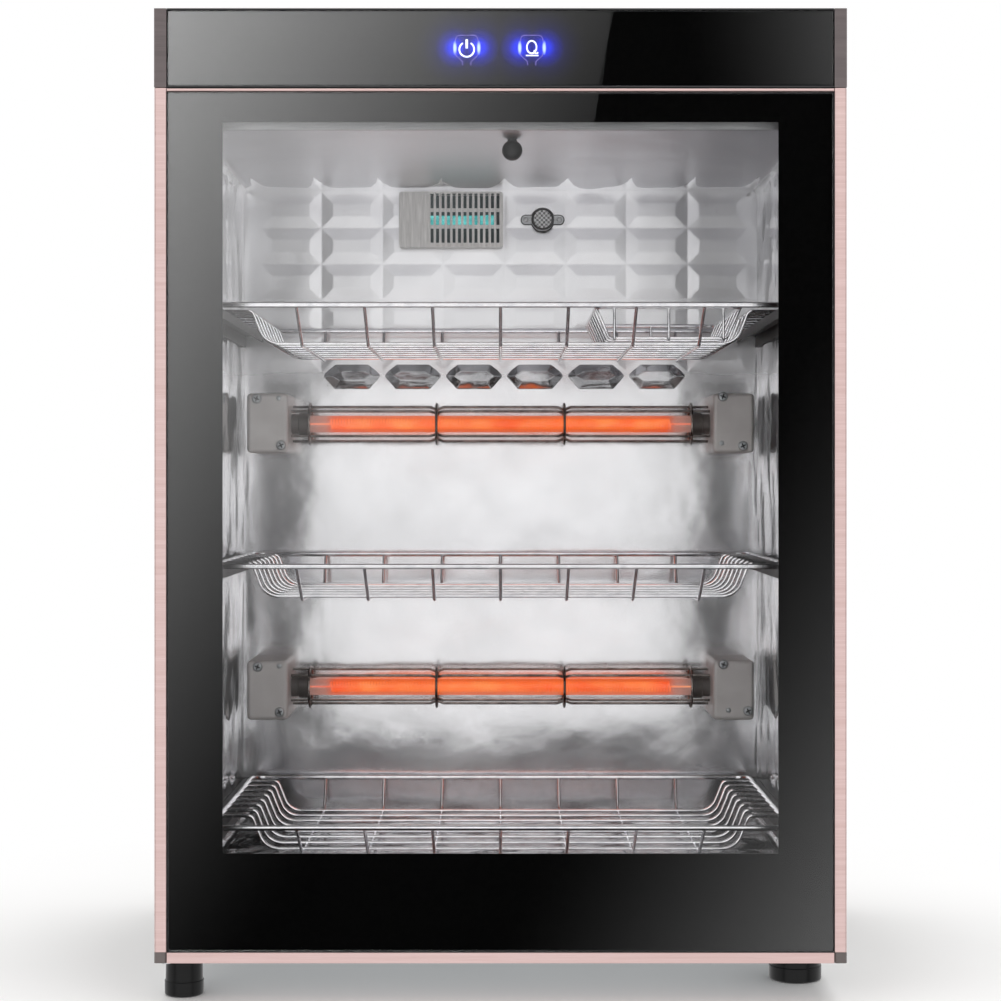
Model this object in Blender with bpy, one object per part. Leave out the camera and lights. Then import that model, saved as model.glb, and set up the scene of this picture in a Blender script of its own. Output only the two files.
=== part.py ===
# A free-standing dish sterilizer cabinet with a glazed door, two infrared heaters,
# a germicidal lamp, three wire racks and a wire cutlery basket.
# Metres. X runs to the right, the front faces -Y, the floor is at z = 0 and the
# origin is under the middle of the cabinet.

import math

import bmesh
import bpy
from mathutils import Matrix, Vector

# Whole cabinet
cabinet_width = 0.430
cabinet_depth = 0.340
cabinet_height = 0.621
foot_height = 0.028
fit_gap = 0.0003
cut_overrun = 0.001

# Rounding of turned pieces, bends and wires, in counts, and the shading angle in degrees
turned_sides = 16
small_sides = 12
bend_steps = 2
corner_steps = 2
wire_sides = 4
smooth_angle = 35

# Outer casing
shell_sheet = 0.001
shell_bend = 0.003
lip_width = 0.012
gland_reach = 0.006
back_sheet = 0.0008
pan_sheet = 0.001
pan_flange = 0.012
pan_corner = 0.004
vent_count = 8
vent_width = 0.004
vent_height = 0.030
vent_pitch = 0.012
vent_drop = 0.045

# Cavity
side_depth = 0.019
floor_rise = 0.044
cavity_drop = 0.022
rear_chamber = 0.024
liner_sheet = 0.0008
liner_corner = 0.006
liner_flange = 0.008
insulation_edge = 0.013
insulation_top = 0.016
insulation_rear = 0.015
slab_drop = 0.153
emboss_pitch = 0.0466
emboss_shift = 0.003
emboss_side = 0.005
emboss_row = 0.0275
emboss_rows = 5
emboss_height = 0.0018
emboss_hip = 0.013
emboss_margin = 0.0015

# Door
door_thickness = 0.0245
door_gap = 0.002
swing_gap = 0.0004
door_rise = 0.0003
panel_gap = 0.0005
glass_thickness = 0.004
glass_polish = 0.0006
inner_glass_thickness = 0.0032
inner_glass_margin = 0.005
stile_width = 0.0076
stile_bend = 0.001
trim_wall = 0.0014
trim_hook = 0.003
top_rail_height = 0.002
bottom_rail_height = 0.0065
window_side = 0.042
window_sill = 0.0673
window_head = 0.0205
gasket_inset = 0.0135
gasket_top_inset = 0.008
gasket_width = 0.008
gasket_foot = 0.0064
gasket_groove = 0.0014
gasket_corner = 0.008
gasket_chamfer = 0.0006

# Hinge
pin_radius = 0.0019
pin_head_lip = 0.001
pin_head = 0.0012
pin_reach = 0.015
bracket_plate = 0.002
bracket_length = 0.0230
bracket_front = 0.006
bracket_rear = 0.034
bracket_flange = 0.0200
bracket_corner = 0.005

# Control panel
panel_height = 0.049
panel_rim = 0.0008
housing_wall = 0.002
icon_height = 0.0252
power_place = -0.0210
mode_place = 0.0194
lamp_offsets = (-0.0284, -0.0135, 0.0120, 0.0272)
touch_pad_radius = 0.005
indicator_radius = 0.0016
boss_radius = 0.0025
boss_length = 0.0027
board_thickness = 0.0016
touch_board_width = 0.120
touch_board_height = 0.036
board_margin = 0.005

# Power board, behind the front frame above the cavity
power_board_width = 0.150
power_board_height = 0.044
power_board_place = 0.060
power_board_standoff = 0.006
transformer_size = 0.030
transformer_depth = 0.024
relay_width = 0.018
relay_height = 0.014
relay_depth = 0.015
capacitor_radius = 0.006
capacitor_length = 0.020
part_spacing = 0.008

# Infrared heaters
lower_heater_rise = 0.070
upper_heater_drop = 0.071
heater_setback = 0.025
tube_radius = 0.0064
tube_setback = 0.003
collar_radius = 0.0084
collar_reach = 0.014
collar_length = 0.0085
neck_radius = 0.0074
neck_sink = 0.008
holder_width = 0.0305
holder_gap = 0.0085
holder_height = 0.044
holder_front = 0.030
holder_wall = 0.0012
holder_corner = 0.003
guard_rod = 0.001
guard_radius = 0.0135
guard_ring_radius = 0.0151
guard_rod_angles = (43, 107, 253, 317)
guard_ring_shares = (-1, -0.335, 0.335, 1)
guard_ring_sides = 10
guard_sides = 4

# Germicidal lamp and its cover
uv_cover_width = 0.079
uv_cover_height = 0.042
uv_cover_depth = 0.0122
uv_cover_wall = 0.001
uv_cover_right = 0.002
uv_cover_drop = 0.003
slot_columns = 13
slot_pitch = 0.00416
slot_width = 0.0023
slot_right = 0.0028
slot_rows = (0.0111, 0.0099, 0.0108)
slot_row_gap = 0.0027
slot_drop = 0.0015
uv_tube_radius = 0.0036
uv_cap_radius = 0.0044
uv_cap_length = 0.009
uv_bracket_plate = 0.0012
uv_bracket_height = 0.014
uv_bracket_margin = 0.003
uv_cable_radius = 0.003

# Thermostat on the back wall and plug in the ceiling
thermostat_place = 0.0321
thermostat_drop = 0.023
thermostat_cap_radius = 0.0086
thermostat_cap_depth = 0.006
thermostat_body_radius = 0.0075
thermostat_body_depth = 0.014
thermostat_ear_reach = 0.016
thermostat_cap_chamfer = 0.001
thermostat_ear_radius = 0.0032
thermostat_round_share = 0.02
thermostat_plate = 0.001
thermostat_screw_radius = 0.0015
thermostat_tab_width = 0.006
thermostat_tab_sheet = 0.0008
thermostat_tab_length = 0.006
thermostat_tab_spread = 0.0035
plug_place = 0.0076
plug_setback = 0.0392
plug_radius = 0.0068
plug_dome = 0.0045
plug_stem_radius = 0.003
plug_stem_length = 0.006
plug_barb = 0.0006
plug_clearing = 0.004

# Wire racks and the rails that carry them
first_rim_rise = 0.031
upper_rim_drop = 0.1084
rack_side_gap = 0.008
rack_front_gap = 0.030
rack_rear_gap = 0.012
rack_corner = 0.010
rim_radius = 0.0018
rack_wire = 0.00115
rack_dip = 0.0219
rack_shoulder = 0.0215
rack_wall_lean = 0.0087
rack_shoulder_bend = 0.004
rack_floor_bend = 0.013
rack_front_slope = 0.043
rack_rear_slope = 0.014
rack_slope_bend = 0.008
runner_count = 7
runner_margin = 0.0255
cross_count = 8
weld_sink = 0.0004
rail_reach = 0.0155
rail_wall = 0.0015
rail_wall_leg = 0.010
rail_lip = 0.006
rail_front_gap = 0.006
rail_rear_gap = 0.004

# Cutlery basket, on the right of the upper rack
basket_wire = 0.0010
basket_rim_wire = 0.0013
basket_width = 0.097
basket_side_gap = 0.0053
basket_height = 0.0203
basket_lean = 0.009
basket_front_gap = 0.003
basket_rear_gap = 0.003
basket_rib_count = 8
basket_runner_count = 3
basket_corner = 0.006
basket_bend = 0.003

# Feet
thin_foot_radius = 0.0125
wide_foot_radius = 0.01725
foot_rim = 0.0015
foot_band = 0.008
foot_neck_share = 0.72
stud_radius = 0.0028
stud_rise = 0.007
thin_foot_inset = 0.013
thin_foot_setback = 0.040
wide_foot_inset = 0.021
wide_foot_setback = 0.083
rear_foot_setback = 0.039

# Cord gland
gland_inset = 0.065
gland_rise = 0.032
gland_flange_radius = 0.011
gland_barrel_radius = 0.0075
gland_bore_radius = 0.0032
gland_length = 0.010
gland_chamfer = 0.0015

# Size at which the empties of the moving pieces are drawn
pivot_size = 0.02

# Planes and places that follow from the sizes above
half_width = cabinet_width / 2
front = -cabinet_depth / 2
rear = cabinet_depth / 2
body_front = front + door_thickness + door_gap
body_rear = rear - gland_reach
shell_rear = body_rear - back_sheet - fit_gap
panel_floor = cabinet_height - panel_height
door_floor = foot_height + door_rise
door_top = panel_floor - panel_gap
door_back = front + door_thickness
cavity_half = half_width - side_depth
cavity_floor = foot_height + floor_rise
cavity_top = panel_floor - cavity_drop
frame_rear = body_front + shell_sheet
liner_front = frame_rear + fit_gap
cavity_rear = body_rear - rear_chamber
gland_place = half_width - gland_inset
wall_face = cavity_rear + fit_gap
ridge_face = wall_face - emboss_height
lip_edge = half_width - lip_width

pin_hole_radius = pin_radius + fit_gap
pin_head_radius = pin_radius + pin_head_lip
hinge_inset = trim_wall + fit_gap + pin_head_radius
swing = door_gap - swing_gap
hinge_setback = (hinge_inset**2 - swing**2) / (2 * swing)
hinge_x = -half_width + hinge_inset
hinge_y = door_back - hinge_setback
bracket_left = -half_width + trim_wall + fit_gap
bracket_right = bracket_left + bracket_length

rack_half = cavity_half - rack_side_gap
rack_front = liner_front + rack_front_gap
rack_rear = cavity_rear - rack_rear_gap
lower_rim = cavity_floor + first_rim_rise
upper_rim = cavity_top - upper_rim_drop
rim_heights = [lower_rim, (lower_rim + upper_rim) / 2, upper_rim]
heater_heights = [rim_heights[0] + lower_heater_rise, rim_heights[2] - upper_heater_drop]
heater_y = cavity_rear - heater_setback
holder_outer = cavity_half - holder_gap
holder_inner = holder_outer - holder_width
tube_half = holder_inner - tube_setback
collar_start = holder_inner - collar_reach
neck_end = holder_inner + neck_sink


def clear_scene():
    for old in list(bpy.data.objects):
        bpy.data.objects.remove(old, do_unlink=True)


def finish(name, colour, roughness, metallic=0.0, glow=None):
    made = bpy.data.materials.new(name)
    made.use_nodes = True
    made.diffuse_color = (*colour, 1)
    shader = made.node_tree.nodes["Principled BSDF"]
    shader.inputs["Base Color"].default_value = (*colour, 1)
    shader.inputs["Roughness"].default_value = roughness
    shader.inputs["Metallic"].default_value = metallic
    if glow:
        shader.inputs["Emission Color"].default_value = (*colour, 1)
        shader.inputs["Emission Strength"].default_value = glow
    return made


# Outlines in a plane

def rectangle(left, right, low, high):
    return [(left, low), (right, low), (right, high), (left, high)]


def rounded(left, right, low, high, radius, steps=corner_steps):
    centres = [
        (right - radius, high - radius, 0),
        (left + radius, high - radius, 90),
        (left + radius, low + radius, 180),
        (right - radius, low + radius, 270),
    ]
    outline = []
    for across, up, start in centres:
        for step in range(steps + 1):
            angle = math.radians(start + 90 * step / steps)
            outline.append((across + radius * math.cos(angle), up + radius * math.sin(angle)))
    return outline


def circle(across, up, radius, sides):
    turns = [2 * math.pi * (step + 0.5) / sides for step in range(sides)]
    return [(across + radius * math.cos(turn), up + radius * math.sin(turn)) for turn in turns]


# A line of straight runs with its corners turned into arcs; radii has one for each inner point
def filleted(points, radii, steps=bend_steps):
    path = [Vector(points[0])]
    for before, corner, after, radius in zip(points, points[1:], points[2:], radii):
        corner = Vector(corner)
        back = (Vector(before) - corner).normalized()
        ahead = (Vector(after) - corner).normalized()
        half = back.angle(ahead) / 2
        reach = radius / math.tan(half)
        centre = corner + (back + ahead).normalized() * radius / math.sin(half)
        start = corner + back * reach - centre
        end = corner + ahead * reach - centre
        opening = start.angle(end)
        for step in range(steps + 1):
            part = step / steps
            blend = start * math.sin((1 - part) * opening) + end * math.sin(part * opening)
            path.append(centre + blend / math.sin(opening))
    path.append(Vector(points[-1]))
    return path


# The closed outline of a folded sheet: a line and its copy set off to the left
def folded(points, sheet):
    path = [Vector(point) for point in points]
    other = []
    for place, point in enumerate(path):
        runs = []
        if place:
            runs.append((point - path[place - 1]).normalized())
        if place + 1 < len(path):
            runs.append((path[place + 1] - point).normalized())
        sides = [Vector((-run.y, run.x)) for run in runs]
        middle = sum(sides, Vector((0, 0))).normalized()
        other.append(point + middle * sheet / middle.dot(sides[0]))
    return [tuple(point) for point in path] + [tuple(point) for point in reversed(other)]


# Closed shapes added to a mesh under construction

def skin(bm, rings, closed=False):
    count = len(rings[0])
    pairs = list(zip(rings, rings[1:]))
    if closed:
        pairs.append((rings[-1], rings[0]))
    for first, second in pairs:
        for place in range(count):
            following = (place + 1) % count
            corners = []
            for vert in (first[place], first[following], second[following], second[place]):
                if vert not in corners:
                    corners.append(vert)
            if len(corners) > 2:
                bm.faces.new(corners)
    if not closed:
        for ring in (rings[0], rings[-1]):
            if ring[0] is not ring[1]:
                bm.faces.new(ring)


def spot(axis, along, first, second):
    place = [first, second]
    place.insert(axis, along)
    return place


def add_loft(bm, axis, levels, closed=False):
    rings = []
    for along, outline in levels:
        rings.append([bm.verts.new(spot(axis, along, *point)) for point in outline])
    skin(bm, rings, closed)


def add_prism(bm, axis, outline, start, end):
    add_loft(bm, axis, [(start, outline), (end, outline)])


def add_block(bm, low, high):
    outline = rectangle(low[0], high[0], low[1], high[1])
    add_prism(bm, 2, outline, low[2], high[2])


# profile holds (along the axis, radius) pairs; a radius of zero is a point on the axis
def add_turned(bm, axis, centre, profile, sides=turned_sides, closed=False):
    first, second = [centre[place] for place in range(3) if place != axis]
    rings = []
    for along, radius in profile:
        height = centre[axis] + along
        if radius:
            outline = circle(first, second, radius, sides)
            rings.append([bm.verts.new(spot(axis, height, *point)) for point in outline])
        else:
            rings.append([bm.verts.new(spot(axis, height, first, second))] * sides)
    skin(bm, rings, closed)


def add_rod(bm, axis, centre, radius, start, end, sides=small_sides):
    first, second = [centre[place] for place in range(3) if place != axis]
    add_prism(bm, axis, circle(first, second, radius, sides), start, end)


# A round wire along a flat path; axis is the one square to the path's plane
def add_wire(bm, axis, path, level, radius, sides=wire_sides, closed=False):
    normal = Vector(spot(axis, 1, 0, 0))
    points = [Vector(spot(axis, level, *point)) for point in path]
    count = len(points)
    rings = []
    for place, point in enumerate(points):
        runs = []
        if place or closed:
            runs.append((point - points[place - 1]).normalized())
        if place + 1 < count or closed:
            runs.append((points[(place + 1) % count] - point).normalized())
        sides_out = [run.cross(normal) for run in runs]
        middle = sum(sides_out, Vector()).normalized()
        mitre = middle / middle.dot(sides_out[0])
        ring = []
        for step in range(sides):
            turn = 2 * math.pi * step / sides
            offset = mitre * math.cos(turn) + normal * math.sin(turn)
            ring.append(bm.verts.new(point + offset * radius))
        rings.append(ring)
    skin(bm, rings, closed)


# Objects

def solid(name, bm, look):
    bmesh.ops.recalc_face_normals(bm, faces=bm.faces)
    mesh = bpy.data.meshes.new(name)
    bm.to_mesh(mesh)
    bm.free()
    mesh.materials.append(look)
    item = bpy.data.objects.new(name, mesh)
    bpy.context.scene.collection.objects.link(item)
    return item


def change(item, bm, operation):
    tool = solid("tool", bm, item.data.materials[0])
    step = item.modifiers.new(operation.title(), "BOOLEAN")
    step.operation = operation
    step.solver = "EXACT"
    step.object = tool
    graph = bpy.context.evaluated_depsgraph_get()
    made = bpy.data.meshes.new_from_object(item.evaluated_get(graph))
    item.modifiers.remove(step)
    spent = (item.data, tool.data)
    made.name = item.name
    item.data = made
    bpy.data.objects.remove(tool)
    for mesh in spent:
        bpy.data.meshes.remove(mesh)


def cut(item, bm):
    change(item, bm, "DIFFERENCE")


def join(item, bm):
    change(item, bm, "UNION")


def smooth(item):
    item.data.shade_smooth()
    item.data.set_sharp_from_angle(angle=math.radians(smooth_angle))


# Hangs a piece that was made in place on the empty that moves it
def carry(item, carrier):
    item.data.transform(Matrix.Translation(-carrier.location))
    item.parent = carrier


def pivot(name, place):
    empty = bpy.data.objects.new(name, None)
    empty.empty_display_size = pivot_size
    empty.location = place
    bpy.context.scene.collection.objects.link(empty)
    return empty


# Outer casing

def make_shell():
    inner = half_width - shell_sheet
    points = [
        (half_width, foot_height),
        (half_width, cabinet_height),
        (-half_width, cabinet_height),
        (-half_width, foot_height),
    ]
    path = filleted(points, (shell_bend, shell_bend))
    bm = bmesh.new()
    add_prism(bm, 1, folded(path, shell_sheet), body_front, shell_rear)
    shell = solid("outer_shell", bm, looks["painted_steel"])
    for side in (-1, 1):
        edges = sorted((side * lip_edge, side * (inner + shell_sheet / 2)))
        lip = bmesh.new()
        top = cabinet_height - shell_bend
        add_prism(lip, 1, rectangle(*edges, foot_height, top), body_front, frame_rear)
        join(shell, lip)
    smooth(shell)


def make_front_frame():
    edge = lip_edge - fit_gap
    top = cabinet_height - shell_sheet - fit_gap
    bm = bmesh.new()
    outer = rectangle(-edge, edge, door_floor, top)
    inner = rectangle(-cavity_half, cavity_half, cavity_floor, cavity_top)
    levels = [(body_front, outer), (body_front, inner), (frame_rear, inner), (frame_rear, outer)]
    add_loft(bm, 1, levels, closed=True)
    frame = solid("front_frame", bm, looks["satin_steel"])
    # Cable opening between the control panel and the power board
    hole = bmesh.new()
    middle = panel_floor + panel_height / 2
    half = touch_board_height / 2 - board_margin
    low_y = body_front - cut_overrun
    high_y = frame_rear + cut_overrun
    add_prism(hole, 1, rounded(-half, half, middle - half, middle + half, board_margin), low_y, high_y)
    cut(frame, hole)


def make_back_cover():
    bm = bmesh.new()
    outline = rounded(-half_width, half_width, foot_height, cabinet_height, shell_bend)
    add_prism(bm, 1, outline, body_rear - back_sheet, body_rear)
    cover = solid("back_cover", bm, looks["zinc_steel"])
    tools = bmesh.new()
    low_y = body_rear - back_sheet - cut_overrun
    high_y = body_rear + cut_overrun
    span = vent_pitch * (vent_count - 1)
    for step in range(vent_count):
        left = -span / 2 + step * vent_pitch - vent_width / 2
        for low in (cabinet_height - vent_drop - vent_height, foot_height + vent_drop):
            outline = rectangle(left, left + vent_width, low, low + vent_height)
            add_prism(tools, 1, outline, low_y, high_y)
    place = (gland_place, 0, foot_height + gland_rise)
    add_rod(tools, 1, place, gland_barrel_radius + fit_gap, low_y, high_y, turned_sides)
    cut(cover, tools)


def foot_places():
    front_thin = (-half_width + thin_foot_inset, front + thin_foot_setback)
    front_wide = (half_width - wide_foot_inset, front + wide_foot_setback)
    rear_y = body_rear - rear_foot_setback
    rear_left = (-half_width + wide_foot_inset, rear_y)
    rear_right = (half_width - wide_foot_inset, rear_y)
    return [
        ("foot_front_left", front_thin),
        ("foot_front_right", front_wide),
        ("foot_rear_left", rear_left),
        ("foot_rear_right", rear_right),
    ]


def make_base():
    outer_x = half_width - shell_sheet - fit_gap
    low_y = liner_front
    high_y = shell_rear - fit_gap
    top = foot_height + pan_flange
    floor = foot_height + pan_sheet
    inner_x = outer_x - pan_sheet
    outer = rounded(-outer_x, outer_x, low_y, high_y, pan_corner)
    inner = rounded(-inner_x, inner_x, low_y + pan_sheet, high_y - pan_sheet, pan_corner - pan_sheet)
    bm = bmesh.new()
    add_loft(bm, 2, [(foot_height, outer), (top, outer), (top, inner), (floor, inner)])
    base = solid("base_plate", bm, looks["zinc_steel"])
    holes = bmesh.new()
    for _, (across, along) in foot_places():
        low = foot_height - cut_overrun
        add_rod(holes, 2, (across, along, 0), stud_radius + fit_gap, low, floor + cut_overrun)
    cut(base, holes)


def make_feet():
    for name, (across, along) in foot_places():
        thin = name == "foot_front_left"
        radius = thin_foot_radius if thin else wide_foot_radius
        top = foot_height - fit_gap
        if thin:
            top = top - bracket_plate - fit_gap
        neck = radius * foot_neck_share
        bm = bmesh.new()
        profile = [
            (0, 0),
            (0, radius - foot_rim),
            (foot_rim, radius),
            (foot_band, radius),
            (foot_band + foot_rim, radius - foot_rim),
            (top - foot_rim, neck),
            (top, neck),
            (top, stud_radius),
            (foot_height + stud_rise, stud_radius),
            (foot_height + stud_rise, 0),
        ]
        add_turned(bm, 2, (across, along, 0), profile)
        smooth(solid(name, bm, looks["black_gloss"]))


def make_gland():
    bm = bmesh.new()
    start = body_rear - back_sheet - gland_length
    seat = body_rear + fit_gap
    profile = [
        (start, gland_bore_radius),
        (start, gland_barrel_radius),
        (seat, gland_barrel_radius),
        (seat, gland_flange_radius),
        (rear - gland_chamfer, gland_flange_radius),
        (rear, gland_flange_radius - gland_chamfer),
        (rear, gland_bore_radius),
    ]
    add_turned(bm, 1, (gland_place, 0, foot_height + gland_rise), profile, closed=True)
    smooth(solid("cord_gland", bm, looks["black_plastic"]))


# Cavity

def make_liner():
    outer = cavity_half + liner_sheet
    edge = outer + liner_flange

    def outline(half, spread, radius):
        return rounded(-half, half, cavity_floor - spread, cavity_top + spread, radius)

    inside = outline(cavity_half, 0, liner_corner)
    outside = outline(outer, liner_sheet, liner_corner + liner_sheet)
    flange = outline(edge, liner_sheet + liner_flange, liner_corner + liner_sheet)
    flange_rear = liner_front + liner_sheet
    bm = bmesh.new()
    levels = [
        (liner_front, flange),
        (liner_front, inside),
        (cavity_rear, inside),
        (cavity_rear, outside),
        (flange_rear, outside),
        (flange_rear, flange),
    ]
    add_loft(bm, 1, levels, closed=True)
    liner = solid("cavity_liner", bm, looks["mirror_steel"])
    hole = bmesh.new()
    low = cavity_top - cut_overrun
    high = cavity_top + liner_sheet + cut_overrun
    add_rod(hole, 2, plug_centre(), plug_stem_radius + fit_gap, low, high)
    cut(liner, hole)


def plug_centre():
    return (plug_place, liner_front + plug_setback, 0)


def thermostat_centre():
    return (thermostat_place, 0, cavity_top - thermostat_drop)


# The embossed field is a grid of hipped cells that stand out towards the front
def make_liner_back():
    edge = cavity_half + liner_flange
    low = cavity_floor - liner_flange
    high = cavity_top + liner_flange
    count = int(2 * (cavity_half - emboss_side) / emboss_pitch)
    first = emboss_shift - emboss_pitch * count / 2
    columns = [first + step * emboss_pitch for step in range(count + 1)]
    top = cavity_top - emboss_margin
    rows = [top - step * emboss_row for step in range(emboss_rows, -1, -1)]
    across = [-edge] + columns + [edge]
    up = [low] + rows + [high]
    bm = bmesh.new()
    grid = [[bm.verts.new((x, wall_face, z)) for x in across] for z in up]
    for row in range(len(up) - 1):
        for column in range(len(across) - 1):
            corners = [
                grid[row][column],
                grid[row][column + 1],
                grid[row + 1][column + 1],
                grid[row + 1][column],
            ]
            inside = 0 < row < len(up) - 2 and 0 < column < len(across) - 2
            if not inside:
                bm.faces.new(corners)
                continue
            middle = (up[row] + up[row + 1]) / 2
            left = bm.verts.new((across[column] + emboss_hip, ridge_face, middle))
            right = bm.verts.new((across[column + 1] - emboss_hip, ridge_face, middle))
            bm.faces.new((corners[0], corners[1], right, left))
            bm.faces.new((corners[1], corners[2], right))
            bm.faces.new((corners[2], corners[3], left, right))
            bm.faces.new((corners[3], corners[0], left))
    pushed = bmesh.ops.extrude_face_region(bm, geom=list(bm.faces))
    moved = [part for part in pushed["geom"] if isinstance(part, bmesh.types.BMVert)]
    bmesh.ops.translate(bm, verts=moved, vec=(0, liner_sheet, 0))
    wall = solid("liner_back", bm, looks["mirror_steel"])
    holes = bmesh.new()
    low_y = ridge_face - cut_overrun
    high_y = wall_face + liner_sheet + cut_overrun
    hole_radius = thermostat_body_radius + fit_gap
    add_rod(holes, 1, thermostat_centre(), hole_radius, low_y, high_y, turned_sides)
    cable = (uv_cover_right - uv_cover_width / 2, 0, uv_lamp_height())
    add_rod(holes, 1, cable, uv_cable_radius, low_y, high_y)
    cut(wall, holes)


def make_insulation():
    inner = cavity_half + liner_sheet + fit_gap
    outer = half_width - shell_sheet - fit_gap
    low = foot_height + insulation_edge
    ceiling = cavity_top + liner_sheet + fit_gap
    roof = ceiling + insulation_top
    outline = [
        (-outer, low),
        (-inner, low),
        (-inner, ceiling),
        (inner, ceiling),
        (inner, low),
        (outer, low),
        (outer, roof),
        (-outer, roof),
    ]
    start = liner_front + liner_sheet + fit_gap
    bm = bmesh.new()
    add_prism(bm, 1, outline, start, cavity_rear)
    wrap = solid("insulation_wrap", bm, looks["glass_wool"])
    hole = bmesh.new()
    clearing = plug_stem_radius + plug_clearing
    add_rod(hole, 2, plug_centre(), clearing, ceiling - cut_overrun, roof + cut_overrun)
    cut(wrap, hole)
    face = wall_face + liner_sheet + fit_gap
    slab = bmesh.new()
    outline = rectangle(-cavity_half, cavity_half, cavity_floor, cavity_top - slab_drop)
    add_prism(slab, 1, outline, face, face + insulation_rear)
    solid("insulation_back", slab, looks["glass_wool"])


def make_plug():
    seat = cavity_top - fit_gap
    tip = cavity_top + liner_sheet + plug_stem_length
    barb = plug_stem_radius - plug_barb
    bm = bmesh.new()
    profile = [(seat - plug_dome, 0)]
    for step in range(1, bend_steps + 2):
        angle = math.pi / 2 * step / (bend_steps + 1)
        profile.append((seat - plug_dome * math.cos(angle), plug_radius * math.sin(angle)))
    profile += [(seat, plug_stem_radius), (tip - plug_barb, plug_stem_radius), (tip, barb), (tip, 0)]
    add_turned(bm, 2, plug_centre(), profile, small_sides)
    smooth(solid("ceiling_plug", bm, looks["black_gloss"]))


def make_thermostat():
    centre = thermostat_centre()
    seat = ridge_face - fit_gap
    plate_face = seat - thermostat_plate
    cap_face = plate_face - thermostat_cap_depth
    body_end = seat + thermostat_body_depth
    cap_edge = thermostat_cap_radius - thermostat_cap_chamfer
    profile = [
        (cap_face, 0),
        (cap_face, cap_edge),
        (cap_face + thermostat_cap_chamfer, thermostat_cap_radius),
        (seat, thermostat_cap_radius),
        (seat, thermostat_body_radius),
        (body_end, thermostat_body_radius),
        (body_end, 0),
    ]
    bm = bmesh.new()
    add_turned(bm, 1, centre, profile)
    item = solid("thermostat", bm, looks["satin_steel"])
    ears = bmesh.new()
    left = centre[0] - thermostat_ear_reach
    right = centre[0] + thermostat_ear_reach
    low = centre[2] - thermostat_ear_radius
    high = centre[2] + thermostat_ear_radius
    radius = thermostat_ear_radius * (1 - thermostat_round_share)
    add_prism(ears, 1, rounded(left, right, low, high, radius, bend_steps + 1), plate_face, seat)
    join(item, ears)
    holes = bmesh.new()
    for side in (-1, 1):
        across = centre[0] + side * (thermostat_ear_reach - thermostat_ear_radius)
        place = (across, 0, centre[2])
        add_rod(holes, 1, place, thermostat_screw_radius, plate_face - cut_overrun, seat + cut_overrun)
    cut(item, holes)
    tabs = bmesh.new()
    for side in (-1, 1):
        across = centre[0] + side * thermostat_tab_spread
        half = thermostat_tab_sheet / 2
        low = centre[2] - thermostat_tab_width / 2
        outline = rectangle(across - half, across + half, low, low + thermostat_tab_width)
        add_prism(tabs, 1, outline, body_end - thermostat_plate, body_end + thermostat_tab_length)
    join(item, tabs)
    smooth(item)


# Germicidal lamp

def uv_lamp_height():
    return cavity_top - uv_cover_drop - uv_cover_height / 2


def make_uv_cover():
    right = uv_cover_right
    left = right - uv_cover_width
    top = cavity_top - uv_cover_drop
    low = top - uv_cover_height
    seat = ridge_face - fit_gap
    face = seat - uv_cover_depth
    wall = uv_cover_wall
    bm = bmesh.new()
    outer = rounded(left, right, low, top, wall * 2)
    inner = rounded(left + wall, right - wall, low + wall, top - wall, wall)
    add_loft(bm, 1, [(face, outer), (seat, outer), (seat, inner), (face + wall, inner)])
    cover = solid("uv_cover", bm, looks["satin_steel"])
    slots = bmesh.new()
    high = top - slot_drop
    for height in slot_rows:
        for step in range(slot_columns):
            edge = right - slot_right - step * slot_pitch
            outline = rectangle(edge - slot_width, edge, high - height, high)
            add_prism(slots, 1, outline, face - cut_overrun, face + wall + cut_overrun)
        high -= height + slot_row_gap
    cut(cover, slots)


def make_uv_lamp():
    seat = ridge_face - fit_gap
    inner_face = seat - uv_cover_depth + uv_cover_wall + fit_gap
    height = uv_lamp_height()
    left = uv_cover_right - uv_cover_width + uv_cover_wall + uv_bracket_margin
    right = uv_cover_right - uv_cover_wall - uv_bracket_margin
    plate = uv_bracket_plate
    half = uv_bracket_height / 2
    # One bent strip carries the lamp by an eye at each end
    path = [(right, inner_face), (right, seat), (left, seat), (left, inner_face)]
    bm = bmesh.new()
    add_prism(bm, 2, folded(path, plate), height - half, height + half)
    bracket = solid("uv_lamp_bracket", bm, looks["zinc_steel"])
    hole = bmesh.new()
    centre = (0, (inner_face + seat - plate) / 2, height)
    bore = uv_tube_radius + fit_gap
    add_rod(hole, 0, centre, bore, left - plate - cut_overrun, right + plate + cut_overrun)
    cut(bracket, hole)
    lamp = bmesh.new()
    start = left + plate + fit_gap
    end = right - plate - fit_gap
    pin = uv_bracket_plate
    profile = [
        (start - pin, 0),
        (start - pin, uv_tube_radius - fit_gap),
        (start, uv_tube_radius - fit_gap),
        (start, uv_cap_radius - fit_gap),
        (start + uv_cap_length, uv_cap_radius - fit_gap),
        (start + uv_cap_length, uv_tube_radius),
        (end - uv_cap_length, uv_tube_radius),
        (end - uv_cap_length, uv_cap_radius - fit_gap),
        (end, uv_cap_radius - fit_gap),
        (end, uv_tube_radius - fit_gap),
        (end + pin, uv_tube_radius - fit_gap),
        (end + pin, 0),
    ]
    add_turned(lamp, 0, centre, profile, small_sides)
    smooth(solid("uv_lamp", lamp, looks["lamp_glass"]))


# Infrared heaters

def make_heater(level, height):
    centre = (0, heater_y, height)
    tube = bmesh.new()
    profile = [(-tube_half, 0), (-tube_half, tube_radius), (tube_half, tube_radius), (tube_half, 0)]
    add_turned(tube, 0, centre, profile, small_sides)
    smooth(solid(f"heater_tube_{level}", tube, looks["hot_quartz"]))
    for side, word in ((-1, "left"), (1, "right")):
        make_heater_cap(f"heater_cap_{level}_{word}", side, height)
        make_heater_holder(f"heater_holder_{level}_{word}", side, height)
    make_guard(f"heater_guard_{level}", height)


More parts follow.
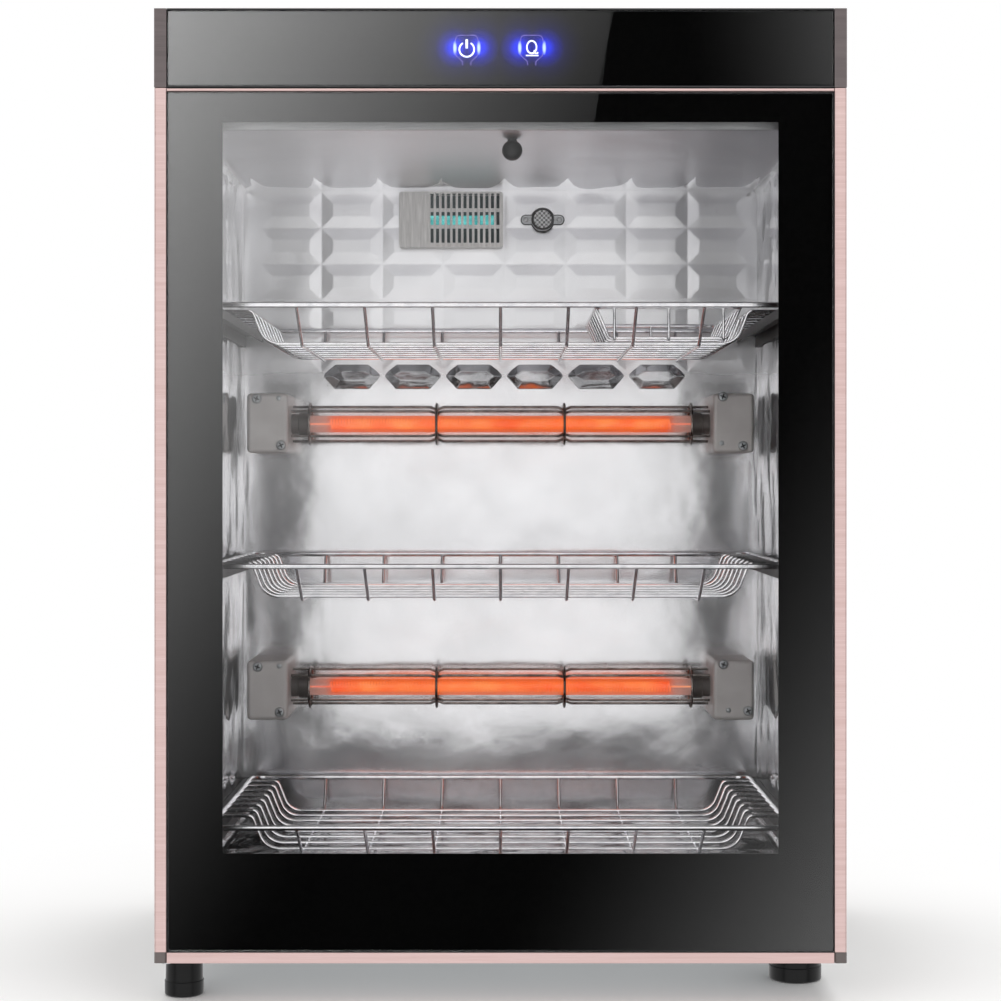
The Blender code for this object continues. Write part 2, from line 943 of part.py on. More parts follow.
def make_heater_cap(name, side, height):
    bore = tube_radius + fit_gap
    shoulder = collar_start + collar_length
    profile = [
        (collar_start, bore),
        (collar_start, collar_radius),
        (shoulder, collar_radius),
        (shoulder, neck_radius),
        (neck_end, neck_radius),
        (neck_end, 0),
        (tube_half + fit_gap, 0),
        (tube_half + fit_gap, bore),
    ]
    turned = [(side * along, radius) for along, radius in profile]
    bm = bmesh.new()
    add_turned(bm, 0, (0, heater_y, height), turned, small_sides, closed=True)
    smooth(solid(name, bm, looks["dark_ceramic"]))


def make_heater_holder(name, side, height):
    near, far = sorted((side * holder_inner, side * holder_outer))
    low = height - holder_height / 2
    high = height + holder_height / 2
    face = heater_y - holder_front
    seat = wall_face - fit_gap
    wall = holder_wall
    bm = bmesh.new()
    outer = rounded(near, far, low, high, holder_corner, 1)
    inside = (near + wall, far - wall, low + wall, high - wall)
    inner = rounded(*inside, holder_corner - wall, 1)
    small = rounded(*inside, holder_corner, 1)
    levels = [(face, small), (face + wall, outer), (seat, outer), (seat, inner), (face + wall * 2, inner)]
    add_loft(bm, 1, levels)
    holder = solid(name, bm, looks["grey_steel"])
    hole = bmesh.new()
    ends = sorted((side * (holder_inner - cut_overrun), side * (holder_inner + wall + cut_overrun)))
    add_rod(hole, 0, (0, heater_y, height), neck_radius + fit_gap, *ends)
    cut(holder, hole)


def make_guard(name, height):
    end = holder_inner - fit_gap
    rods = bmesh.new()
    for degrees in guard_rod_angles:
        angle = math.radians(degrees)
        place = (
            0,
            heater_y - guard_radius * math.cos(angle),
            height + guard_radius * math.sin(angle),
        )
        add_rod(rods, 0, place, guard_rod, -end, end, guard_sides)
    guard = solid(name, rods, looks["dark_wire"])
    rings = bmesh.new()
    path = circle(heater_y, height, guard_ring_radius, guard_ring_sides)
    for share in guard_ring_shares:
        add_wire(rings, 0, path, share * collar_start, guard_rod, guard_sides, closed=True)
    join(guard, rings)
    smooth(guard)


# Racks, rails and basket

def make_rail(name, side, rim):
    top = rim - rim_radius - fit_gap
    wall = cavity_half - fit_gap
    tip = cavity_half - rail_reach
    points = [
        (wall, top - rail_wall_leg),
        (wall, top),
        (tip, top),
        (tip, top - rail_lip),
    ]
    outline = [(side * across, up) for across, up in folded(points, rail_wall)]
    bm = bmesh.new()
    add_prism(bm, 1, outline, rack_front - rail_front_gap, cavity_rear - rail_rear_gap)
    solid(name, bm, looks["black_plastic"])


# Made about the middle of the rim's front wire, so that its object stands there
def rack_mesh():
    depth = rack_rear - rack_front
    wall_x = rack_half - rack_shoulder
    floor_x = wall_x - rack_wall_lean
    runner_drop = rack_dip + 2 * rack_wire - weld_sink

    rim = bmesh.new()
    outline = rounded(-rack_half, rack_half, 0, depth, rack_corner)
    add_wire(rim, 2, outline, 0, rim_radius, closed=True)
    rack = solid("rack", rim, looks["chrome_wire"])

    runners = bmesh.new()
    points = [
        (0, 0),
        (rack_front_slope, -runner_drop),
        (depth - rack_rear_slope, -runner_drop),
        (depth, 0),
    ]
    path = filleted(points, (rack_slope_bend, rack_slope_bend), 1)
    reach = floor_x - runner_margin
    for step in range(runner_count):
        level = -reach + 2 * reach * step / (runner_count - 1)
        add_wire(runners, 0, path, level, rack_wire)
    join(rack, runners)

    crosses = bmesh.new()
    points = [
        (-rack_half, 0),
        (-wall_x, 0),
        (-floor_x, -rack_dip),
        (floor_x, -rack_dip),
        (wall_x, 0),
        (rack_half, 0),
    ]
    radii = (rack_shoulder_bend, rack_floor_bend, rack_floor_bend, rack_shoulder_bend)
    path = filleted(points, radii)
    start = rack_front_slope + rack_slope_bend
    end = depth - rack_rear_slope - rack_slope_bend
    for step in range(cross_count):
        level = start + (end - start) * step / (cross_count - 1)
        add_wire(crosses, 1, path, level, rack_wire)
    join(rack, crosses)
    smooth(rack)
    mesh = rack.data
    bpy.data.objects.remove(rack)
    return mesh


def make_racks():
    mesh = rack_mesh()
    for word, rim in zip(("lower", "middle", "upper"), rim_heights):
        for side, hand in ((-1, "left"), (1, "right")):
            make_rail(f"rack_rail_{word}_{hand}", side, rim)
        rack = bpy.data.objects.new(f"rack_{word}", mesh)
        rack.location = (0, rack_front, rim)
        bpy.context.scene.collection.objects.link(rack)


def make_basket():
    rack_floor = rim_heights[2] - rack_dip
    runner_z = rack_floor + rack_wire + fit_gap + basket_wire
    rib_z = runner_z + 2 * basket_wire - weld_sink
    rim_z = rib_z + basket_height
    right = rack_half - rack_shoulder - basket_side_gap
    left = right - basket_width
    first = rack_front + rack_front_slope + rack_slope_bend - basket_front_gap
    last = rack_rear - rack_rear_slope - rack_slope_bend + basket_rear_gap

    rim = bmesh.new()
    outline = rounded(left, right, first, last, basket_corner)
    add_wire(rim, 2, outline, rim_z, basket_rim_wire, closed=True)
    basket = solid("cutlery_basket", rim, looks["chrome_wire"])

    ribs = bmesh.new()
    floor_left = left + basket_lean
    floor_right = right - basket_lean
    points = [(left, rim_z), (floor_left, rib_z), (floor_right, rib_z), (right, rim_z)]
    path = filleted(points, (basket_bend, basket_bend), 1)
    for step in range(basket_rib_count):
        part = step / (basket_rib_count - 1)
        level = first + basket_corner + (last - first - 2 * basket_corner) * part
        add_wire(ribs, 1, path, level, basket_wire)
    join(basket, ribs)

    runners = bmesh.new()
    points = [(first, rim_z), (first, runner_z), (last, runner_z), (last, rim_z)]
    path = filleted(points, (basket_bend, basket_bend), 1)
    start = floor_left + basket_bend
    end = floor_right - basket_bend
    for step in range(basket_runner_count):
        level = start + (end - start) * step / (basket_runner_count - 1)
        add_wire(runners, 0, path, level, basket_wire)
    join(basket, runners)
    smooth(basket)
    carry(basket, pivot("basket_lift", (0, rack_front, rim_heights[2])))


# Control panel

def make_panel():
    edge = half_width - stile_width - fit_gap
    low = panel_floor + panel_rim
    high = cabinet_height - panel_rim
    glass_back = front + glass_thickness
    wall_front = glass_back + fit_gap
    wall_back = wall_front + housing_wall
    rear_face = body_front - fit_gap
    section = [
        (front, cabinet_height),
        (front, high),
        (wall_front, high),
        (wall_front, low),
        (front, low),
        (front, panel_floor),
        (rear_face, panel_floor),
        (rear_face, panel_floor + housing_wall),
        (wall_back, panel_floor + housing_wall),
        (wall_back, cabinet_height - housing_wall),
        (rear_face, cabinet_height - housing_wall),
        (rear_face, cabinet_height),
    ]
    bm = bmesh.new()
    add_prism(bm, 0, section, -edge, edge)
    housing = solid("control_housing", bm, looks["black_plastic"])
    middle = panel_floor + icon_height
    board_half = touch_board_width / 2
    bosses = bmesh.new()
    for side in (-1, 1):
        for rise in (-1, 1):
            across = side * (board_half - board_margin)
            up = middle + rise * (touch_board_height / 2 - board_margin)
            ends = (wall_back - housing_wall / 2, wall_back + boss_length)
            add_rod(bosses, 1, (across, 0, up), boss_radius, *ends)
    join(housing, bosses)
    holes = bmesh.new()
    through = (wall_front - cut_overrun, wall_back + cut_overrun)
    for across in (power_place, mode_place):
        add_rod(holes, 1, (across, 0, middle), touch_pad_radius + fit_gap, *through, turned_sides)
    for across in lamp_offsets:
        add_rod(holes, 1, (across, 0, middle), indicator_radius + fit_gap, *through)
    cut(housing, holes)
    # Room for the upper hinge bracket
    notch = bmesh.new()
    inner_x = bracket_right + fit_gap
    start = hinge_y - bracket_front - fit_gap
    top = panel_floor + bracket_flange + 2 * fit_gap
    low_corner = (-half_width, start, panel_floor - cut_overrun)
    add_block(notch, low_corner, (inner_x, body_front, top))
    cut(housing, notch)

    glass = bmesh.new()
    add_prism(glass, 1, rectangle(-edge, edge, low + fit_gap, high - fit_gap), front, glass_back)
    bevelled(glass)
    solid("control_glass", glass, looks["black_glass"])

    for side, word in ((-1, "left"), (1, "right")):
        make_end_cap(f"panel_end_cap_{word}", side)
    make_touch_board(wall_back + boss_length + fit_gap, wall_front, middle)


def bevelled(bm):
    bmesh.ops.bevel(
        bm,
        geom=list(bm.edges),
        offset=glass_polish,
        segments=1,
        profile=0.5,
        affect="EDGES",
        material=-1,
    )


def make_end_cap(name, side):
    outer = side * half_width
    inner = side * (half_width - stile_width)
    rear_face = body_front - fit_gap
    bm = bmesh.new()
    near, far = sorted((inner, outer))
    add_block(bm, (near, front, panel_floor), (far, rear_face, cabinet_height))
    cap = solid(name, bm, looks["warm_grey"])
    pocket = bmesh.new()
    near, far = sorted((inner - side * cut_overrun, outer - side * trim_wall))
    low_corner = (near, front + trim_wall, panel_floor - cut_overrun)
    add_block(pocket, low_corner, (far, rear_face + cut_overrun, cabinet_height - trim_wall))
    cut(cap, pocket)


def make_touch_board(face, pad_face, middle):
    half = touch_board_width / 2
    rise = touch_board_height / 2
    bm = bmesh.new()
    outline = rectangle(-half, half, middle - rise, middle + rise)
    add_prism(bm, 1, outline, face, face + board_thickness)
    board = solid("touch_board", bm, looks["green_board"])
    pads = bmesh.new()
    sunk = face + board_thickness / 2
    for across in (power_place, mode_place):
        add_rod(pads, 1, (across, 0, middle), touch_pad_radius, pad_face, sunk, turned_sides)
    for across in lamp_offsets:
        add_rod(pads, 1, (across, 0, middle), indicator_radius, pad_face, sunk)
    join(board, pads)


def make_power_board():
    face = frame_rear + fit_gap
    low = panel_floor + fit_gap
    left = power_board_place - power_board_width / 2
    right = left + power_board_width
    high = low + power_board_height
    start = face + power_board_standoff
    bm = bmesh.new()
    add_prism(bm, 1, rectangle(left, right, low, high), start, start + board_thickness)
    board = solid("power_board", bm, looks["green_board"])
    parts = bmesh.new()
    for across in (left + board_margin, right - board_margin):
        for up in (low + board_margin, high - board_margin):
            add_rod(parts, 1, (across, 0, up), boss_radius, face, start + board_thickness / 2)
    sunk = start + board_thickness / 2
    top = start + board_thickness
    middle = (low + high) / 2
    edge = left + 2 * board_margin + boss_radius
    half = transformer_size / 2
    outline = rectangle(edge, edge + transformer_size, middle - half, middle + half)
    add_prism(parts, 1, outline, sunk, top + transformer_depth)
    edge += transformer_size + part_spacing
    half = relay_height / 2
    for _ in range(2):
        outline = rectangle(edge, edge + relay_width, middle - half, middle + half)
        add_prism(parts, 1, outline, sunk, top + relay_depth)
        edge += relay_width + part_spacing
    place = (edge + capacitor_radius, 0, middle)
    add_rod(parts, 1, place, capacitor_radius, sunk, top + capacitor_length)
    join(board, parts)


# Door

def trim_piece(name, outline, axis, start, end, look, hinge):
    bm = bmesh.new()
    add_prism(bm, axis, outline, start, end)
    item = solid(name, bm, look)
    carry(item, hinge)


def make_door():
    hinge = pivot("door_hinge", (hinge_x, hinge_y, door_floor))
    side_inner = half_width - stile_width
    glass_edge = side_inner - fit_gap
    glass_low = door_floor + bottom_rail_height + fit_gap
    glass_high = door_top - top_rail_height - fit_gap
    glass_back = front + glass_thickness

    glass = bmesh.new()
    outline = rectangle(-glass_edge, glass_edge, glass_low, glass_high)
    add_prism(glass, 1, outline, front, glass_back)
    bevelled(glass)
    carry(solid("door_glass", glass, looks["smoked_glass"]), hinge)

    for side, word in ((-1, "left"), (1, "right")):
        points = [
            (side_inner, front),
            (half_width, front),
            (half_width, door_back),
            (half_width - trim_hook, door_back),
        ]
        path = filleted(points, (stile_bend, stile_bend), 1)
        outline = [(side * across, along) for across, along in folded(path, trim_wall)]
        name = f"door_stile_{word}"
        trim_piece(name, outline, 2, glass_low, door_top, looks["rose_gold"], hinge)
        make_corner(f"door_corner_{word}", side, hinge)

    points = [(front, door_top - top_rail_height), (front, door_top), (door_back, door_top)]
    outline = folded(list(reversed(points)), trim_wall)
    trim_piece("door_rail_top", outline, 0, -glass_edge, glass_edge, looks["rose_gold"], hinge)
    points = [
        (front, door_floor + bottom_rail_height),
        (front, door_floor),
        (door_back, door_floor),
        (door_back, door_floor + trim_hook),
    ]
    outline = folded(points, trim_wall)
    trim_piece("door_rail_bottom", outline, 0, -glass_edge, glass_edge, looks["rose_gold"], hinge)
    make_door_frame(glass_back + fit_gap, hinge)
    make_inner_glass(hinge)
    make_gasket(hinge)


def make_corner(name, side, hinge):
    near, far = sorted((side * (half_width - stile_width), side * half_width))
    outline = rounded(near, far, front, door_back, stile_bend, 1)
    top = door_floor + bottom_rail_height
    bm = bmesh.new()
    add_prism(bm, 2, outline, door_floor, top)
    corner = solid(name, bm, looks["dark_brown"])
    hole = bmesh.new()
    ends = (door_floor - cut_overrun, top + cut_overrun)
    add_rod(hole, 2, (-side * hinge_x, hinge_y, 0), pin_hole_radius, *ends)
    cut(corner, hole)
    carry(corner, hinge)


def window():
    return (
        -half_width + window_side,
        half_width - window_side,
        door_floor + window_sill,
        door_top - window_head,
    )


def grown(box, margin):
    return (box[0] - margin, box[1] + margin, box[2] - margin, box[3] + margin)


def gasket_box():
    across = half_width - gasket_inset
    return (-across, across, door_floor + gasket_inset, door_top - gasket_top_inset)


def make_door_frame(face, hinge):
    edge = half_width - trim_wall - fit_gap
    low = door_floor + trim_wall + fit_gap
    high = door_top - trim_wall - fit_gap
    # Behind the hooks of the trims the frame is narrower
    step_y = door_back - trim_wall - fit_gap
    step_x = half_width - trim_hook - fit_gap
    step_low = door_floor + trim_hook + fit_gap
    bm = bmesh.new()
    levels = [
        (face, rectangle(-edge, edge, low, high)),
        (step_y, rectangle(-edge, edge, low, high)),
        (step_y, rectangle(-step_x, step_x, step_low, high - fit_gap)),
        (door_back, rectangle(-step_x, step_x, step_low, high - fit_gap)),
        (door_back, rectangle(*grown(window(), inner_glass_margin + fit_gap))),
        (pane_seat(), rectangle(*grown(window(), inner_glass_margin + fit_gap))),
        (pane_seat(), rectangle(*window())),
        (face, rectangle(*window())),
    ]
    add_loft(bm, 1, levels, closed=True)
    frame = solid("door_frame", bm, looks["black_plastic"])

    groove = bmesh.new()
    half = gasket_foot / 2 + fit_gap
    outer = rounded(*grown(gasket_box(), half), gasket_corner + half)
    inner = rounded(*grown(gasket_box(), -half), gasket_corner - half)
    floor = door_back - gasket_groove - fit_gap
    top = door_back + cut_overrun
    add_loft(groove, 1, [(floor, outer), (top, outer), (top, inner), (floor, inner)], closed=True)
    cut(frame, groove)

    notches = bmesh.new()
    inner_x = half_width - stile_width - fit_gap
    top = door_floor + bottom_rail_height + fit_gap
    for side in (-1, 1):
        near, far = sorted((side * inner_x, side * half_width))
        add_block(notches, (near, front, door_floor), (far, door_back + cut_overrun, top))
    cut(frame, notches)

    bores = bmesh.new()
    low_end = door_floor + pin_reach + pin_head
    high_end = door_top - pin_reach - pin_head
    place = (hinge_x, hinge_y, 0)
    add_rod(bores, 2, place, pin_hole_radius, door_floor, low_end)
    add_rod(bores, 2, place, pin_hole_radius, high_end, door_top)
    cut(frame, bores)
    carry(frame, hinge)


def pane_seat():
    return door_back - inner_glass_thickness - 2 * fit_gap


def make_inner_glass(hinge):
    bm = bmesh.new()
    start = pane_seat() + fit_gap
    outline = rectangle(*grown(window(), inner_glass_margin))
    add_prism(bm, 1, outline, start, start + inner_glass_thickness)
    carry(solid("door_inner_glass", bm, looks["clear_glass"]), hinge)


def make_gasket(hinge):
    box = gasket_box()
    foot = gasket_foot / 2
    half = gasket_width / 2
    seat = door_back - gasket_groove
    neck = door_back + fit_gap
    contact = body_front - fit_gap
    shoulder = contact - gasket_chamfer
    section = [
        (foot, seat),
        (foot, neck),
        (half, neck),
        (half, shoulder),
        (half - gasket_chamfer, contact),
        (-half + gasket_chamfer, contact),
        (-half, shoulder),
        (-half, neck),
        (-foot, neck),
        (-foot, seat),
    ]
    levels = []
    for outward, along in section:
        outline = rounded(*grown(box, outward), gasket_corner + outward)
        levels.append((along, outline))
    bm = bmesh.new()
    add_loft(bm, 1, levels, closed=True)
    carry(solid("door_gasket", bm, looks["grey_rubber"]), hinge)


# Hinge pieces that stay with the cabinet

def make_hinge():
    start = hinge_y - bracket_front
    plate_top = foot_height - fit_gap
    plate_low = plate_top - bracket_plate
    bm = bmesh.new()
    end = start + bracket_front + bracket_rear
    outline = rounded(bracket_left, bracket_right, start, end, bracket_corner)
    add_prism(bm, 2, outline, plate_low, plate_top)
    lower = solid("hinge_bracket_lower", bm, looks["zinc_steel"])
    holes = bmesh.new()
    ends = (plate_low - cut_overrun, plate_top + cut_overrun)
    add_rod(holes, 2, (hinge_x, hinge_y, 0), pin_hole_radius, *ends)
    foot_x, foot_y = foot_places()[0][1]
    add_rod(holes, 2, (foot_x, foot_y, 0), stud_radius + fit_gap, *ends)
    cut(lower, holes)

    seat = body_front - fit_gap
    floor = panel_floor + fit_gap
    points = [(start, floor), (seat, floor), (seat, floor + bracket_flange)]
    bm = bmesh.new()
    add_prism(bm, 0, folded(points, bracket_plate), bracket_left, bracket_right)
    upper = solid("hinge_bracket_upper", bm, looks["zinc_steel"])
    hole = bmesh.new()
    ends = (floor - cut_overrun, floor + bracket_plate + cut_overrun)
    add_rod(hole, 2, (hinge_x, hinge_y, 0), pin_hole_radius, *ends)
    cut(upper, hole)

    make_pin("hinge_pin_lower", plate_low - fit_gap, 1, door_floor + pin_reach)
    make_pin("hinge_pin_upper", floor + bracket_plate + fit_gap, -1, door_top - pin_reach)


def make_pin(name, seat, way, tip):
    bm = bmesh.new()
    profile = [
        (seat - way * pin_head, 0),
        (seat - way * pin_head, pin_head_radius),
        (seat, pin_head_radius),
        (seat, pin_radius),
        (tip, pin_radius),
        (tip, 0),
    ]
    add_turned(bm, 2, (hinge_x, hinge_y, 0), profile, small_sides)
    smooth(solid(name, bm, looks["satin_steel"]))


clear_scene()
looks = {
    "painted_steel": finish("painted_steel", (0.020, 0.019, 0.020), 0.45),
    "satin_steel": finish("satin_steel", (0.62, 0.62, 0.63), 0.32, 1.0),
    "mirror_steel": finish("mirror_steel", (0.74, 0.74, 0.75), 0.14, 1.0),
    "zinc_steel": finish("zinc_steel", (0.50, 0.51, 0.53), 0.42, 1.0),
    "grey_steel": finish("grey_steel", (0.26, 0.24, 0.23), 0.40, 0.6),
    "chrome_wire": finish("chrome_wire", (0.78, 0.78, 0.80), 0.10, 1.0),
    "dark_wire": finish("dark_wire", (0.22, 0.20, 0.19), 0.30, 1.0),
    "black_gloss": finish("black_gloss", (0.010, 0.010, 0.010), 0.15),
    "black_plastic": finish("black_plastic", (0.014, 0.014, 0.015), 0.45),
    "black_glass": finish("black_glass", (0.004, 0.004, 0.005), 0.05),
    "smoked_glass": finish("smoked_glass", (0.02, 0.02, 0.02), 0.04),
    "clear_glass": finish("clear_glass", (0.80, 0.85, 0.83), 0.03),
    "rose_gold": finish("rose_gold", (0.72, 0.48, 0.44), 0.30, 1.0),
    "warm_grey": finish("warm_grey", (0.15, 0.125, 0.13), 0.40, 0.4),
    "dark_brown": finish("dark_brown", (0.11, 0.095, 0.09), 0.45),
    "grey_rubber": finish("grey_rubber", (0.10, 0.10, 0.10), 0.70),
    "glass_wool": finish("glass_wool", (0.70, 0.64, 0.42), 0.95),
    "green_board": finish("green_board", (0.02, 0.16, 0.07), 0.45),
    "dark_ceramic": finish("dark_ceramic", (0.065, 0.055, 0.050), 0.55),
    "hot_quartz": finish("hot_quartz", (1.0, 0.20, 0.04), 0.15, 0.0, 2.0),
    "lamp_glass": finish("lamp_glass", (0.22, 0.60, 0.62), 0.10, 0.0, 1.5),
}
make_shell()
make_front_frame()
make_back_cover()
make_base()
make_feet()
make_gland()
make_liner()
make_liner_back()
make_insulation()
make_plug()
make_thermostat()
make_uv_cover()
make_uv_lamp()
for word, height in zip(("lower", "upper"), heater_heights):
    make_heater(word, height)
make_racks()
make_basket()
make_panel()
make_power_board()
make_door()
make_hinge()
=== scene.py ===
# Dish sterilizer cabinet: finishes and fine pieces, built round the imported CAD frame.
# Metres, +Z up, the door faces -Y and the floor is at z = 0.

import math

import bmesh
import bpy
from mathutils import Matrix, Vector


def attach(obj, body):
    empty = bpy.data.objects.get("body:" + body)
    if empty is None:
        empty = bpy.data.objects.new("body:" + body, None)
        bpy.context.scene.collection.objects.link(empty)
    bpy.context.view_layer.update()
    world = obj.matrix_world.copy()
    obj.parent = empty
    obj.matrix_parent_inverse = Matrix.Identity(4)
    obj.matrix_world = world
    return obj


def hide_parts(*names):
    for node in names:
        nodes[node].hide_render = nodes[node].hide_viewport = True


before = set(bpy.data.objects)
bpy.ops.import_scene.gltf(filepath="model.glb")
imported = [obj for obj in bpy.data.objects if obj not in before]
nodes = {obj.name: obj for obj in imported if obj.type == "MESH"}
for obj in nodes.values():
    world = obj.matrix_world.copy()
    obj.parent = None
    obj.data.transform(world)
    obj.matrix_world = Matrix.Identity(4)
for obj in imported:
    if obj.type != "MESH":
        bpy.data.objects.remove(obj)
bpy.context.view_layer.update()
scene = bpy.context.scene
mm = 0.001
print("frame loaded:", len(nodes), "nodes")


# Colours are written as sRGB hex and used as linear values

def linear(code):
    channels = [int(code[place:place + 2], 16) / 255 for place in (1, 3, 5)]
    return tuple(
        value / 12.92 if value <= 0.04045 else ((value + 0.055) / 1.055) ** 2.4 for value in channels
    ) + (1,)


# Adds one node with its settings and links; an input is a value, a socket or a node, whose
# first output is then taken, and stops are a colour ramp's positions and colours
def add(tree, kind, inputs=None, stops=(), **settings):
    made = tree.nodes.new("ShaderNode" + kind)
    for key, value in settings.items():
        setattr(made, key, value)
    for key, value in (inputs or {}).items():
        if isinstance(value, bpy.types.Node):
            value = value.outputs[0]
        if isinstance(value, bpy.types.NodeSocket):
            tree.links.new(value, made.inputs[key])
        else:
            made.inputs[key].default_value = value
    for step, (position, code) in enumerate(stops):
        element = made.color_ramp.elements[step] if step < 2 else made.color_ramp.elements.new(position)
        element.position = position
        element.color = linear(code)
    return made


def startMaterial(name):
    made = bpy.data.materials.new(name)
    made.use_nodes = True
    made.node_tree.nodes.clear()
    tree = made.node_tree
    return made, tree, add(tree, "TexCoord").outputs["Object"]


def endMaterial(tree, shader):
    add(tree, "OutputMaterial", {"Surface": shader})


# Ends an opaque material: a ramp of colours over tone, a range of roughness over worn, and a
# relief so many millimetres deep; fixed holds the inputs that are the same all over
def endOpaque(tree, tone, stops, worn, rough, relief=None, deep=0.0, fixed=None):
    inputs = {
        "Base Color": add(tree, "ValToRGB", {"Fac": tone}, stops),
        "Roughness": add(tree, "MapRange", {"Value": worn, "To Min": rough[0], "To Max": rough[1]}),
        **(fixed or {}),
    }
    if relief:
        inputs["Normal"] = add(tree, "Bump", {"Height": relief, "Distance": deep * mm})
    endMaterial(tree, add(tree, "BsdfPrincipled", inputs))


metal = {"Metallic": 1.0}


# Finishes

# Bright annealed stainless sheet, rolled to a mirror and then buckled a little by the press:
# reflections stay sharp but swim in waves 40 to 90 mm long. Above satinFrom it is satin.
def polishedStainless(name, colour, shade, low, high, slowWave, quickWave, satinFrom=10.0):
    made, tree, place = startMaterial(name)
    slow = add(tree, "TexNoise", {"Vector": place, "Scale": 13, "Detail": 1.5})
    quick = add(tree, "TexNoise", {"Vector": place, "Scale": 34, "Detail": 2})
    cloud = add(tree, "TexNoise", {"Vector": place, "Scale": 22, "Detail": 4})
    wave = add(tree, "Bump", {"Height": slow, "Distance": slowWave * mm})
    wave = add(tree, "Bump", {"Height": quick, "Distance": quickWave * mm, "Normal": wave})
    colour = add(tree, "ValToRGB", {"Fac": cloud}, [(0.3, shade), (0.7, colour)])
    rough = add(tree, "MapRange", {"Value": cloud, "To Min": low, "To Max": high})
    height = add(tree, "SeparateXYZ", {"Vector": place}).outputs["Z"]
    reach = {"Value": height, "From Min": satinFrom, "From Max": satinFrom + 0.012, "To Max": 0.1}
    rough = add(tree, "Math", {0: add(tree, "MapRange", reach), 1: rough}, operation="ADD")
    inputs = {"Base Color": colour, "Metallic": 1.0, "Roughness": rough, "Normal": wave}
    endMaterial(tree, add(tree, "BsdfPrincipled", inputs))
    return made


# Stainless sheet ground on a belt: grain 0.3 mm apart along its length, drawn coarser to show
def groundStainless(name, colour, shade, grain, low, high):
    made, tree, place = startMaterial(name)
    along = add(tree, "Mapping", {"Vector": place, "Scale": grain})
    lines = add(tree, "TexNoise", {"Vector": along, "Scale": 1, "Detail": 3, "Roughness": 0.6})
    smudge = add(tree, "TexNoise", {"Vector": place, "Scale": 30, "Detail": 3})
    endOpaque(tree, lines, [(0.3, shade), (0.7, colour)], smudge, (low, high), lines, 0.03, metal)
    return made


# Anodised aluminium trim, brushed across its length in lines 0.4 mm apart, dyed and sealed:
# a satin metal with soft light and dark streaks
def anodisedAluminium(name, colour, shade, grain, roughness):
    made, tree, place = startMaterial(name)
    along = add(tree, "Mapping", {"Vector": place, "Scale": grain})
    fine = add(tree, "TexNoise", {"Vector": along, "Scale": 1, "Detail": 2, "Roughness": 0.7})
    broad = add(tree, "TexNoise", {"Vector": along, "Scale": 0.12, "Detail": 2})
    streak = add(tree, "Math", {0: fine, 1: broad}, operation="MULTIPLY")
    rough = (roughness - 0.06, roughness + 0.08)
    endOpaque(tree, streak, [(0.12, shade), (0.36, colour)], fine, rough, fine, 0.012, metal)
    return made


# A coat with a cloudy tone and a fine relief, each the (scale, detail) of a noise
def coated(name, stops, cloud, rough, relief, deep, fixed):
    made, tree, place = startMaterial(name)
    tone = add(tree, "TexNoise", {"Vector": place, "Scale": cloud[0], "Detail": cloud[1]})
    fine = add(tree, "TexNoise", {"Vector": place, "Scale": relief[0], "Detail": relief[1]})
    endOpaque(tree, tone, stops, tone, rough, fine, deep, fixed)
    return made


# Powder coat on the casing: semi-gloss black with orange peel about 1.5 mm across
def powderCoat(name):
    stops = [(0.3, "#141314"), (0.7, "#1B1A1B")]
    return coated(name, stops, (9, 3), (0.38, 0.48), (650, 2), 0.06, {"IOR": 1.4})


# Baked enamel on the heater holders: warm grey and satin, with a fine tooth
def bakedEnamel(name):
    stops = [(0.3, "#C8C3C1"), (0.7, "#D8D4D2")]
    return coated(name, stops, (45, 4), (0.34, 0.46), (1400, 2), 0.02, {"Metallic": 0.15})


# Chrome plate over drawn wire: very smooth, with a faint haze where dishes rub it
def chromePlate(name, colour, shade, low, high):
    stops = [(0.25, shade), (0.6, colour)]
    return coated(name, stops, (120, 3), (low, high), (900, 1), 0.02, metal)


# Moulded plastic, ceramic or rubber: a mottled tone, and a grain that the mould or the firing
# leaves, from near gloss to matt by its roughness; grainSize is in millimetres
def moulded(name, colour, shade, low, high, grainSize=0.5, grainDepth=0.03, index=1.5):
    stops = [(0.3, shade), (0.7, colour)]
    grain = (1 / (grainSize * mm), 3)
    return coated(name, stops, (40, 3), (low, high), grain, grainDepth, {"IOR": index})


# Hot-dip zinc coat: spangles 6 to 10 mm across, each crystal a slightly different grey
def zincCoat(name):
    made, tree, place = startMaterial(name)
    cells = add(tree, "TexVoronoi", {"Vector": place, "Scale": 130})
    tone = add(tree, "SeparateColor", {"Color": cells.outputs["Color"]})
    cloud = add(tree, "TexNoise", {"Vector": place, "Scale": 60, "Detail": 4})
    mixed = add(tree, "Math", {0: tone, 1: 0.6, 2: cloud}, operation="MULTIPLY_ADD")
    stops = [(0.3, "#AEB2B5"), (1.2, "#C4C8CA")]
    endOpaque(tree, mixed, stops, tone, (0.3, 0.5), tone, 0.01, metal)
    return made


# Glass wool batt: yellow fibres a few hundredths of a millimetre thick, drawn coarser
def glassWool(name):
    made, tree, place = startMaterial(name)
    along = add(tree, "Mapping", {"Vector": place, "Scale": (260, 260, 900)})
    fibres = add(tree, "TexNoise", {"Vector": along, "Scale": 1, "Detail": 5, "Roughness": 0.7})
    stops = [(0.3, "#B79C4C"), (0.7, "#E3D089")]
    endOpaque(tree, fibres, stops, fibres, (0.85, 1.0), fibres, 0.8)
    return made


# Glass-epoxy board under green solder mask, with copper tracks about 1 mm apart
def circuitBoard(name):
    made, tree, place = startMaterial(name)
    cells = add(tree, "TexVoronoi", {"Vector": place, "Scale": 260}, distance="MANHATTAN")
    stops = [(0.35, "#0E4A24"), (0.4, "#1C6A38")]
    endOpaque(tree, cells, stops, cells, (0.25, 0.4), cells, 0.04, {"IOR": 1.55})
    return made


